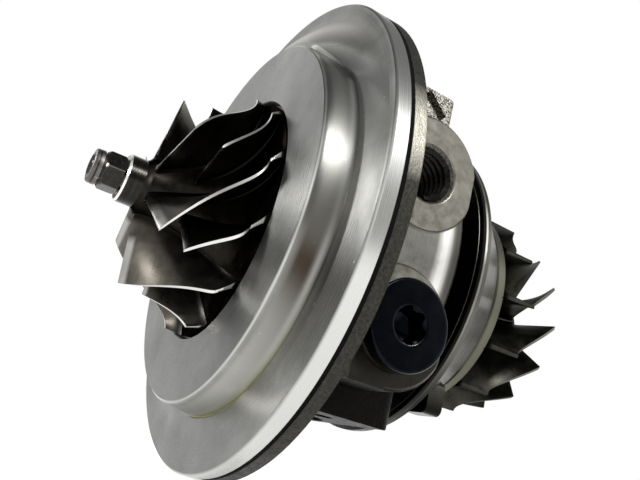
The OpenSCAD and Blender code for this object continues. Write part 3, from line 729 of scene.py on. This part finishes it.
def plug_mesh():
    """The plug from its tip to its head: rows of a radius, or of the hexagon times a share, and a height."""
    top = plug_head_t
    rows = [(0.0, 0, -plug_l), (plug_thread_r - 0.85, 0, -plug_l), (plug_thread_r, 0, 0.9 - plug_l)]
    rows += [(plug_thread_r, 0, -0.01), (plug_thread_r, 0, 0.0), (plug_r - 0.3, 0, 0.0), (plug_r, 0, 0.3)]
    for i in range(7):
        turn = math.pi / 2 * i / 6
        inset, drop = plug_round * (1 - math.cos(turn)), plug_round * (1 - math.sin(turn))
        rows.append((plug_r - inset, 0, top - drop))
    rows += [(plug_r - 0.9, 0, top), (socket_mouth_r + 0.35, 0, top), (socket_mouth_r, 0, top)]
    rows += [(socket_mouth_r - 0.1, 0, top - 0.06), (0, 1.0, top - 0.75), (0, 0.99, top - socket_l + 0.1)]
    rows += [(0, 0.9, top - socket_l), (0.0, 0, top - socket_l - drill_point_l)]
    turns = 96
    points = []
    for i in range(turns):
        a = math.tau * i / turns
        for r, hexagon, h in rows:
            r = r if hexagon == 0 else hexagon * hex_r(plug_key, a)
            x, z = r * math.cos(a + plug_turn), r * math.sin(a + plug_turn)
            points.append(((plug_mid[0] + x) * mm, (plug_mid[1] + h) * mm, (plug_mid[2] + z) * mm))
    return shell("plug", points, skin_faces(turns, len(rows), closed=False), 32)


def plug_finish():
    """Blue-black oxide on steel, smooth with a faint grain, and a bare worn patch painted low on the mouth of
    the socket as a glint.
    """
    finish, tree, shader = new_finish("black plug steel")
    where = object_place(tree)
    fine = grain(tree, where, 0.3, 3.0)
    coarse = grain(tree, where, 3.0, 3.0)
    tone = blend_colour(tree, coarse, (0.3, (0.0035, 0.004, 0.0055)), (0.7, (0.007, 0.008, 0.011)))
    _, along, side, height = shaft_place(tree, where)
    plug_x, plug_y, plug_z = plug_mid
    top_y = plug_y + plug_head_t
    # A bare worn patch is painted low on the socket's mouth as a glint
    mouth = band(tree, side, top_y - 0.8, top_y - 0.03, 0.02)
    low = band(tree, height, plug_z - 4.0, plug_z - 2.5, 0.5)
    middle = band(tree, along, plug_x - 1.7, plug_x + 0.9, 0.6)
    worn = blend_number(tree, fine, 0.4, 0.55, 0.25, 1.0)
    tone = paint_over(tree, tone, overlap(tree, mouth, low, middle, worn), (0.62, 0.61, 0.6))
    set_surface(tree, shader, tone, blend_number(tree, fine, 0.3, 0.7, 0.17, 0.27))
    dents(tree, shader, fine, 0.015, 0.6)
    return finish


washer_aluminium = turned_finish("stamped washer", (0.35, 0.34, 0.32), 0.35)
place("plug", plug_mesh(), plug_finish(), "housing", "plug_black", "port_plug")
dress(washer_aluminium, "port_plug_washer")


# Shaft and the sleeves on it
# The shaft is ground steel, with a thread at its compressor end. It carries a flinger and a
# thrust collar, which the nut clamps behind the wheel.

stud_end = ("x", 35.0, beyond, 0.2, (0.035, 0.03, 0.026))
shaft_steel = turned_finish("ground shaft steel", (0.55, 0.54, 0.52), 0.22, stripes=[stud_end])
dress(shaft_steel, "shaft", "oil_flinger", "thrust_collar")


# Compressor wheel
# An investment casting in aluminium: six long and six short blades on a flared hub. The
# blades' outer edges are turned bright where they follow the cover.

wheel_back = 8.0
exducer_r = 25.5
exducer_w = 2.5
inducer_r = 19.7
nose_x = 31.1
nose_r = 4.9
eye_x = 26.5
hub_step = 1.1
hub_front_r = nose_r + hub_step
inducer_x = eye_x - 1.7
blade_inset = 0.1
compressor_phase = -36.0
blade_pairs = 6
splitter_start = 0.28
compressor_rake = 6.4
compressor_root_t = 0.9
compressor_tip_t = 0.75
stud_r = 2.5
nose_chamfer = 0.35
blade_sink = 0.6
fillet_t = 1.5
fillet_reach = 0.55
inlet_round = 0.03


def mix(a, b, t):
    """Place between two others, by its share of the way."""
    return a + (b - a) * t


def quarter(t):
    """Sine and cosine of a share of a quarter turn."""
    return math.sin(math.pi / 2 * t), math.cos(math.pi / 2 * t)


def compressor_hub(t):
    """Place along the shaft and radius of the hub's surface, from the inlet to the outlet."""
    s, c = quarter(t)
    return mix(eye_x, diffuser_h, s), mix(exducer_r, hub_front_r, c)


def compressor_edge(t):
    """Place along the shaft and radius of the blades' outer edges."""
    s, c = quarter(t)
    return mix(inducer_x, diffuser_h + exducer_w, s), mix(exducer_r - blade_inset, inducer_r, c)


def compressor_turn(t):
    """Degrees that a blade has turned: fast at the inlet, slow past the middle, then faster again."""
    return 116.3 * t - 114.1 * t**2 + 46.8 * t**3


def compressor_sink(t):
    """Way into the hub from its surface, for the root of a blade."""
    s, c = quarter(t)
    return -blade_sink * s, -blade_sink * c


def blade_mesh(name, hub, edge, turn, sink, root_t, tip_t, start=0.0, bright_inlet=0.0, rake=0.0):
    """One blade: a closed skin from its inlet to its outlet, thicker in a fillet at the hub.

    The root runs ahead of the tip toward the outlet, by the rake in degrees. A point has a place along the
    shaft, a radius, half a thickness as an angle, and its share in the worked edges.
    """
    along = 44
    up = [0.0, 0.02, 0.045, 0.08, 0.13, 0.2, 0.3, 0.42, 0.55, 0.68, 0.8, 0.9, 0.96, 0.99]
    points, areas = [], []
    shares = [0.0, 0.003, 0.009, 0.018]
    shares += [inlet_round + (1 - inlet_round) * i / along for i in range(along + 1)]
    shares.append(1.0004)
    for share in shares:
        t = start + (1 - start) * share
        hx, hr = hub(t)
        ex, er = edge(t)
        a = math.radians(turn(t))
        span = math.hypot(ex - hx, er - hr)
        ahead = math.radians(rake) * t**3
        blunt = math.sqrt(1 - (1 - min(share / inlet_round, 1)) ** 2) * 0.8 + 0.2
        sink_x, sink_r = sink(t)
        side = []
        for v in up:
            x, r = mix(hx, ex, v), mix(hr, er, v)
            thick = mix(root_t, tip_t, v) * blunt + fillet_t * math.exp(-v * span / fillet_reach)
            side.append((x, r, thick / 2 / r, 0.0))
        if share < 0.035:
            side = [(x, r, h, bright_inlet * (v > 0.3)) for (x, r, h, _), v in zip(side, up)]
        side.insert(0, (hx + sink_x, hr + sink_r, side[0][2] * 1.1, 0.0))
        half = tip_t * blunt / 2 / er
        side += [(ex, er, half, 0.0), (ex, er, half * 0.97, 1.0)]
        loop = [(x, r, -h, w) for x, r, h, w in side] + [(x, r, h, w) for x, r, h, w in reversed(side)]
        cap = share > 1
        for x, r, h, w in loop:
            h = h * 0.97 if cap else h
            height = ((x - hx) * (ex - hx) + (r - hr) * (er - hr)) / span**2
            place_a = a + h + ahead * min(1 - height, 1)
            points.append((x * mm, r * math.cos(place_a) * mm, r * math.sin(place_a) * mm))
            clear = math.hypot(x - hx, r - hr)
            worked = 1.0 if cap and clear > 0.25 * span else w
            # The second share marks where painted shade lies near the hub
            areas.append({"worked": worked, "root": 1.0 - smooth_step((clear - 0.6) / 1.5)})
    row = len(points) // len(shares)
    faces = skin_faces(len(shares), row, round_again=False)
    for first in (0, (len(shares) - 1) * row):
        last = first + row - 1
        faces += [(first + j, first + j + 1, last - 1 - j, last - j) for j in range(row // 2 - 1)]
    mesh = bpy.data.meshes.new(name)
    mesh.from_pydata(points, [], faces)
    mark_areas(mesh, areas)
    work = bmesh.new()
    work.from_mesh(mesh)
    bmesh.ops.recalc_face_normals(work, faces=work.faces)
    work.to_mesh(mesh)
    work.free()
    mesh.shade_smooth()
    mesh.set_sharp_from_angle(angle=math.radians(50))
    return mesh


def ring_tree():
    """Geometry Nodes tree: copies of a piece all the way round the shaft."""
    tree = bpy.data.node_groups.new("copies round the shaft", "GeometryNodeTree")
    face = tree.interface
    face.new_socket("Piece", in_out="INPUT", socket_type="NodeSocketGeometry")
    count = face.new_socket("Count", in_out="INPUT", socket_type="NodeSocketInt")
    first = face.new_socket("First angle", in_out="INPUT", socket_type="NodeSocketFloat")
    finish = face.new_socket("Finish", in_out="INPUT", socket_type="NodeSocketMaterial")
    face.new_socket("Ring", in_out="OUTPUT", socket_type="NodeSocketGeometry")
    start = tree.nodes.new("NodeGroupInput")
    end = tree.nodes.new("NodeGroupOutput")
    points = tree.nodes.new("GeometryNodePoints")
    index = tree.nodes.new("GeometryNodeInputIndex")
    step = tree.nodes.new("ShaderNodeMath")
    step.operation = "DIVIDE"
    step.inputs[0].default_value = math.tau
    turn = tree.nodes.new("ShaderNodeMath")
    turn.operation = "MULTIPLY_ADD"
    euler = tree.nodes.new("ShaderNodeCombineXYZ")
    rotation = tree.nodes.new("FunctionNodeEulerToRotation")
    copies = tree.nodes.new("GeometryNodeInstanceOnPoints")
    real = tree.nodes.new("GeometryNodeRealizeInstances")
    paint = tree.nodes.new("GeometryNodeSetMaterial")
    link = tree.links.new
    link(start.outputs["Count"], points.inputs["Count"])
    link(start.outputs["Count"], step.inputs[1])
    link(index.outputs["Index"], turn.inputs[0])
    link(step.outputs["Value"], turn.inputs[1])
    link(start.outputs["First angle"], turn.inputs[2])
    link(turn.outputs["Value"], euler.inputs["X"])
    link(euler.outputs["Vector"], rotation.inputs["Euler"])
    link(points.outputs["Points"], copies.inputs["Points"])
    link(start.outputs["Piece"], copies.inputs["Instance"])
    link(rotation.outputs["Rotation"], copies.inputs["Rotation"])
    link(copies.outputs["Instances"], real.inputs["Geometry"])
    link(real.outputs["Geometry"], paint.inputs["Geometry"])
    link(start.outputs["Finish"], paint.inputs["Material"])
    link(paint.outputs["Geometry"], end.inputs["Ring"])
    return tree, count.identifier, first.identifier, finish.identifier


copies_round, count_key, first_key, finish_key = ring_tree()


def ring_of(mesh, count, first_degrees, finish):
    """The mesh copied round the shaft by the tree, as one plain mesh."""
    maker = bpy.data.objects.new(mesh.name + "_maker", mesh)
    bpy.context.scene.collection.objects.link(maker)
    copies = maker.modifiers.new("copies", "NODES")
    copies.node_group = copies_round
    copies[count_key] = count
    copies[first_key] = math.radians(first_degrees)
    copies[finish_key] = finish
    depsgraph = bpy.context.evaluated_depsgraph_get()
    ring = bpy.data.meshes.new_from_object(maker.evaluated_get(depsgraph))
    bpy.data.objects.remove(maker)
    return ring


def turned_mesh(name, outline, turns=144, sharp_angle=35):
    """A turned piece from its outline of places along the shaft and radii, from end to end."""
    points = []
    for i in range(turns):
        a = math.tau * i / turns
        points += [(x * mm, r * math.cos(a) * mm, r * math.sin(a) * mm) for x, r in outline]
    return shell(name, points, skin_faces(turns, len(outline)), sharp_angle)


def wheel_finish(name, dark, light, edge, shine, glance):
    """Cast wheel metal, with painted shade at the blade roots, and bright on the worked edges that the mesh
    marks.

    Glance tints it where it is seen at a flat angle.
    """
    finish, tree, shader = new_finish(name)
    where = object_place(tree)
    coarse = grain(tree, where, 3.0, 4.0, 0.6)
    fine = grain(tree, where, 0.25, 3.0, 0.6)
    skin = blend_colour(tree, coarse, (0.3, dark), (0.7, light))
    root_dark = tuple(c * 0.15 for c in dark)
    # Painted shade where the blades meet the hub
    skin = paint_over(tree, skin, area_mark(tree, "root"), root_dark)
    skin = paint_over(tree, skin, area_mark(tree, "worked"), edge)
    shader.inputs["Specular Tint"].default_value = (glance, glance, glance, 1.0)
    set_surface(tree, shader, skin, blend_number(tree, coarse, 0.3, 0.7, shine * 0.85, shine * 1.2))
    dents(tree, shader, fine, 0.03, 0.5)
    return finish


bright_edge = (0.55, 0.545, 0.52)
wheel_aluminium = wheel_finish(
    "cast wheel aluminium", (0.042, 0.038, 0.032), (0.072, 0.066, 0.055), bright_edge, shine=0.3, glance=1.0
)
hub_aluminium = wheel_finish(
    "cast hub aluminium", (0.008, 0.007, 0.006), (0.02, 0.018, 0.015), bright_edge, shine=0.3, glance=0.3
)
front_ring = ("x", nose_x - nose_chamfer - 0.01, beyond, 0.05, (0.62, 0.61, 0.58))
nose_aluminium = turned_finish(
    "turned wheel nose", (0.022, 0.021, 0.019), 0.26, ring_mm=0.3, spread=0.2, aniso=0.3, stripes=[front_ring]
)
hub_steps = 40
hub_line = [compressor_hub(i / hub_steps) for i in range(hub_steps + 1)]
hub_end_x = eye_x + hub_step
hub_outline = [(wheel_back, stud_r), (wheel_back, exducer_r - 0.15), (wheel_back + 0.15, exducer_r)]
hub_outline += [(diffuser_h - 0.1, exducer_r), *reversed(hub_line[:-1])]
hub_outline += [(eye_x + hub_step * 0.5, nose_r + 0.35), (hub_end_x, nose_r), (hub_end_x, stud_r)]
hub_mesh = turned_mesh("compressor_hub", hub_outline)
place("compressor_hub", hub_mesh, hub_aluminium, "rotor", "wheel_aluminium", "compressor_wheel")
nose_outline = [(hub_end_x, stud_r), (hub_end_x, nose_r), (nose_x - nose_chamfer, nose_r)]
nose_outline += [(nose_x, nose_r - nose_chamfer), (nose_x, stud_r)]
nose_mesh = turned_mesh("compressor_nose", nose_outline)
place("compressor_nose", nose_mesh, nose_aluminium, "rotor", "wheel_aluminium")


def compressor_blades(name, start, first_degrees):
    """Half of the wheel's blades: one blade copied round the shaft."""
    blade = blade_mesh(
        name, compressor_hub, compressor_edge, compressor_turn, compressor_sink,
        compressor_root_t, compressor_tip_t, start, bright_inlet=0.4, rake=compressor_rake,
    )
    return ring_of(blade, blade_pairs, first_degrees, wheel_aluminium)


long_blades = compressor_blades("long_blade", 0.0, compressor_phase)
place("compressor_long_blades", long_blades, wheel_aluminium, "rotor", "wheel_aluminium")
short_blades = compressor_blades("short_blade", splitter_start, compressor_phase + 180 / blade_pairs)
place("compressor_short_blades", short_blades, wheel_aluminium, "rotor", "wheel_aluminium")


# Compressor nut
# A small dark steel nut, turned from hexagon bar with a ringed collar. It is screwed on the
# shaft's end and pulls the wheel against the flinger.

nut_flats = 7.0
nut_hex_l = 4.0
nut_end_x = 37.3
nut_collar_r = 3.5
nut_chamfer = 0.6


def nut_mesh():
    """The nut from the wheel outwards: a hexagon with both ends chamfered, then a ringed collar."""
    rows = [(nose_x, stud_r, 0), (nose_x, nut_flats / 2 - 0.05, 0)]
    collar_x = nose_x + nut_hex_l
    cuts = [nut_chamfer * i / 6 for i in range(7)]
    rows += [(nose_x + cut, nut_flats / 2 + cut, 1) for cut in cuts]
    rows += [(collar_x - cut, nut_flats / 2 + cut, 1) for cut in reversed(cuts)]
    rows += [(collar_x, nut_collar_r - 0.35, 0), (collar_x + 0.35, nut_collar_r - 0.35, 0)]
    rows += [(collar_x + 0.4, nut_collar_r - 0.08, 0), (collar_x + 0.5, nut_collar_r, 0)]
    rows += [(collar_x + 1.2, nut_collar_r, 0), (collar_x + 1.25, nut_collar_r - 0.12, 0)]
    rows += [(collar_x + 1.4, nut_collar_r - 0.12, 0), (collar_x + 1.45, nut_collar_r - 0.03, 0)]
    rows += [(nut_end_x - 0.4, nut_collar_r - 0.05, 0), (nut_end_x - 0.1, nut_collar_r - 0.2, 0)]
    rows += [(nut_end_x, nut_collar_r - 0.45, 0), (nut_end_x, stud_r, 0)]
    turns = 96
    points = []
    for i in range(turns):
        a = math.tau * i / turns
        for x, r, hexagon in rows:
            r = min(r, hex_r(nut_flats, a)) if hexagon else r
            points.append((x * mm, r * math.cos(a) * mm, r * math.sin(a) * mm))
    return shell("nut", points, skin_faces(turns, len(rows)), 28)


def nut_finish():
    """Dark steel, rough and brown on the collar where it was staked and balanced."""
    finish, tree, shader = new_finish("dark nut steel")
    where = object_place(tree)
    _, along, _, _ = shaft_place(tree, where)
    fine = grain(tree, where, 0.5, 4.0, 0.6)
    tone = blend_colour(tree, fine, (0.3, (0.016, 0.0155, 0.0145)), (0.7, (0.034, 0.033, 0.03)))
    brown = blend_colour(tree, fine, (0.35, (0.024, 0.0205, 0.018)), (0.7, (0.052, 0.045, 0.039)))
    collar = band(tree, along, nose_x + nut_hex_l, beyond)
    tone = paint_over(tree, tone, collar, brown)
    edges = tree.nodes.new("ShaderNodeNewGeometry")
    worn = blend_number(tree, edges.outputs["Pointiness"], 0.53, 0.6, 0.0, 0.6)
    tone = paint_over(tree, tone, worn, (0.4, 0.39, 0.37))
    rough = blend_number(tree, fine, 0.3, 0.7, 0.22, 0.42)
    rough = calc(tree, "ADD", rough, calc(tree, "MULTIPLY", collar, 0.12))
    set_surface(tree, shader, tone, rough)
    dents(tree, shader, fine, 0.03, 0.5)
    return finish


place("nut", nut_mesh(), nut_finish(), "rotor", "nut_steel", "compressor_nut")


# Turbine wheel
# A heat-resisting investment casting, welded to the shaft. Its skin is dark brown from the
# mould, and its back disc and blade edges are ground.

turbine_back = -45.7
turbine_root = -48.1
turbine_end = -67.7
turbine_r = 24.0
turbine_exit_r = 20.5
turbine_nose_r = 6.4
turbine_inlet_w = 9.2
turbine_wrap = 24.0
turbine_phase = 0.5
turbine_blades = 13
turbine_root_t = 1.4
turbine_tip_t = 0.8


def turbine_hub(t):
    """Place along the shaft and radius of the hub's surface, from the inlet to the outlet."""
    s, c = quarter(t)
    return mix(turbine_end, turbine_root, c), mix(turbine_r, turbine_nose_r, s)


def turbine_edge(t):
    """Place along the shaft and radius of the blades' outer edges."""
    s, c = quarter(t)
    inlet_x = turbine_root - turbine_inlet_w
    return mix(turbine_end, inlet_x, c), mix(turbine_r - blade_inset, turbine_exit_r, s)


def turbine_turn(t):
    """Degrees that a blade has turned, more and more toward the outlet."""
    return turbine_wrap * t * t


def turbine_sink(t):
    """Way into the hub from its surface, for the root of a blade."""
    s, c = quarter(t)
    return blade_sink * c, -blade_sink * s


dull_edge = (0.14, 0.138, 0.12)
turbine_alloy = wheel_finish(
    "cast turbine alloy", (0.021, 0.0205, 0.017), (0.052, 0.051, 0.0425), dull_edge, shine=0.38, glance=0.4
)
turbine_disc_steel = turned_finish(
    "turned turbine disc", (0.105, 0.103, 0.079), 0.32, ring_mm=0.4, depth_mm=0.01, aniso=0.3
)
turbine_line = [turbine_hub(i / hub_steps) for i in range(hub_steps)]
turbine_outline = [(turbine_root, 0.0), (turbine_line[0][0], turbine_line[0][1] - 0.2), *turbine_line[1:]]
turbine_outline += [(turbine_end - 0.6, turbine_nose_r), (turbine_end - 1.9, turbine_nose_r - 0.9)]
turbine_outline += [(turbine_end - 2.2, turbine_nose_r - 1.5), (turbine_end - 2.2, 0.0)]
turbine_hub_mesh = turned_mesh("turbine_hub", turbine_outline)
place("turbine_hub", turbine_hub_mesh, turbine_alloy, "rotor", "turbine_alloy", "turbine_wheel")
disc_front = turbine_root + 0.02
disc_outline = [(turbine_back, 0.0), (turbine_back, turbine_r - 0.4), (turbine_back - 0.4, turbine_r)]
disc_outline += [(turbine_root + 0.2, turbine_r), (disc_front, turbine_r - 0.2), (disc_front, 0.0)]
disc_mesh = turned_mesh("turbine_disc", disc_outline)
place("turbine_disc", disc_mesh, turbine_disc_steel, "rotor", "turbine_alloy")
turbine_blade = blade_mesh(
    "turbine_blade", turbine_hub, turbine_edge, turbine_turn, turbine_sink, turbine_root_t, turbine_tip_t
)
blade_ring = ring_of(turbine_blade, turbine_blades, turbine_phase, turbine_alloy)
place("turbine_blades", blade_ring, turbine_alloy, "rotor", "turbine_alloy")


# Studio
# A white floor and a white surround, with soft lamps above and beside the part. Grey cards
# out of the camera's sight give the metal something to mirror.

floor_z = -51.2
floor_half = 900


def stage_plane(name, corners, finish):
    """A flat piece of the studio, from its four corners in millimetres."""
    mesh = bpy.data.meshes.new(name)
    mesh.from_pydata([tuple(c * mm for c in corner) for corner in corners], [], [(0, 1, 2, 3)])
    mesh.materials.append(finish)
    plane = bpy.data.objects.new(name, mesh)
    bpy.context.scene.collection.objects.link(plane)
    return plane


def seen_as_white(tree):
    """1 for the rays that show a thing to the camera, straight or mirrored, and 0 for the rest."""
    ray = tree.nodes.new("ShaderNodeLightPath")
    seen = calc(tree, "MAXIMUM", ray.outputs["Is Camera Ray"], ray.outputs["Is Glossy Ray"])
    return calc(tree, "MAXIMUM", seen, ray.outputs["Is Transmission Ray"])


def floor_finish():
    """White to the eye, and plain pale paper for the light that falls on it."""
    finish, tree, shader = new_finish("white floor")
    shader.inputs["Metallic"].default_value = 0.0
    shader.inputs["Base Color"].default_value = (0.8, 0.8, 0.8, 1.0)
    shader.inputs["Roughness"].default_value = 1.0
    shader.inputs["Specular IOR Level"].default_value = 0.0
    shader.inputs["Emission Color"].default_value = (1.0, 1.0, 1.0, 1.0)
    glow = calc(tree, "MULTIPLY", seen_as_white(tree), 0.72)
    tree.links.new(glow, shader.inputs["Emission Strength"])
    return finish


floor_signs = ((-1, -1), (1, -1), (1, 1), (-1, 1))
floor_corners = [(x * floor_half, y * floor_half, floor_z) for x, y in floor_signs]
stage_plane("floor", floor_corners, floor_finish())


def card_finish(name, colour):
    """Card that the metal mirrors in this colour, whatever light falls on it."""
    finish, _, shader = new_finish(name)
    shader.inputs["Metallic"].default_value = 0.0
    shader.inputs["Base Color"].default_value = (0.0, 0.0, 0.0, 1.0)
    shader.inputs["Specular IOR Level"].default_value = 0.0
    shader.inputs["Emission Color"].default_value = (*colour, 1.0)
    shader.inputs["Emission Strength"].default_value = 1.0
    return finish


def facing(spot, aim):
    """Directions to the side, up and back of a thing that looks from a spot at a point."""
    back = np.array(spot, float) - np.array(aim, float)
    back /= np.linalg.norm(back)
    side = np.cross((0, 0, 1), back)
    side /= np.linalg.norm(side)
    return side, np.cross(back, side), back


def card(name, spot, aim, size, colour):
    """A card in millimetres that faces a point. It is out of the camera's sight and throws no shadow."""
    side, top, _ = facing(aim, spot)
    half_side, half_top = side * size[0] / 2, top * size[1] / 2
    mid = np.array(spot, float)
    corners = [mid - half_side - half_top, mid + half_side - half_top]
    corners += [mid + half_side + half_top, mid - half_side + half_top]
    plane = stage_plane(name, corners, card_finish(name, colour))
    plane.visible_camera = False
    plane.visible_shadow = False
    plane.visible_diffuse = False


card("back_card", (110, -280, 72), (0, 0, 30), (420, 62), (0.08, 0.08, 0.08))
card("ceiling_card", (0, 1, 420), (0, 0, 0), (800, 560), (0.24, 0.24, 0.24))
card("front_card", (0, 430, 60), (0, 0, 0), (700, 250), (0.42, 0.42, 0.4))

world = bpy.data.worlds.new("white studio")
bpy.context.scene.world = world
world.use_nodes = True
sky = world.node_tree
sky.nodes.clear()


def sky_light(strength):
    """White light from all round."""
    light = sky.nodes.new("ShaderNodeBackground")
    light.inputs["Color"].default_value = (1, 1, 1, 1)
    light.inputs["Strength"].default_value = strength
    return light.outputs["Background"]


choose = sky.nodes.new("ShaderNodeMixShader")
sky_out = sky.nodes.new("ShaderNodeOutputWorld")
sky.links.new(seen_as_white(sky), choose.inputs["Fac"])
sky.links.new(sky_light(0.45), choose.inputs[1])
sky.links.new(sky_light(1.0), choose.inputs[2])
sky.links.new(choose.outputs["Shader"], sky_out.inputs["Surface"])


def stand(holder, side, top, back, spot):
    """Puts a lamp or a camera on its spot in millimetres, turned by its three directions."""
    turn = np.eye(4)
    turn[:3, 0], turn[:3, 1], turn[:3, 2], turn[:3, 3] = side, top, back, np.array(spot) * mm
    holder.matrix_world = Matrix(turn.tolist())
    bpy.context.scene.collection.objects.link(holder)


def lamp(name, spot, aim, size, watts):
    """A soft lamp in millimetres, turned towards a point. It is round where its two sizes are the same."""
    light = bpy.data.lights.new(name, "AREA")
    light.shape = "DISK" if size[0] == size[1] else "RECTANGLE"
    light.size = size[0] * mm
    light.size_y = size[1] * mm
    light.energy = watts
    stand(bpy.data.objects.new(name, light), *facing(spot, aim), spot)


lamp("key", (-50, 380, 320), (0, 0, 0), (120, 120), 1.6)
lamp("fill", (-330, 260, 120), (-20, 0, 0), (200, 300), 0.2)
lamp("streak", (360, -225, 138), (0, 0, 0), (36, 36), 0.95)
lamp("front", (430, 45, 130), (0, 0, 0), (60, 60), 0.6)

# The camera looks from the compressor's side, a little from below
camera_data = bpy.data.cameras.new("camera")
camera_data.sensor_width = 36.0
camera_data.lens = 40.98
camera_data.clip_start = 0.01
camera = bpy.data.objects.new("camera", camera_data)
camera_side = (-0.835407, 0.496287, 0.236211)
camera_top = (0.348406, 0.145771, 0.925940)
camera_back = (0.425099, 0.855833, -0.294687)
stand(camera, camera_side, camera_top, camera_back, (54.921, 139.278, -44.235))
bpy.context.scene.camera = camera
bpy.context.scene.view_settings.view_transform = "Standard"
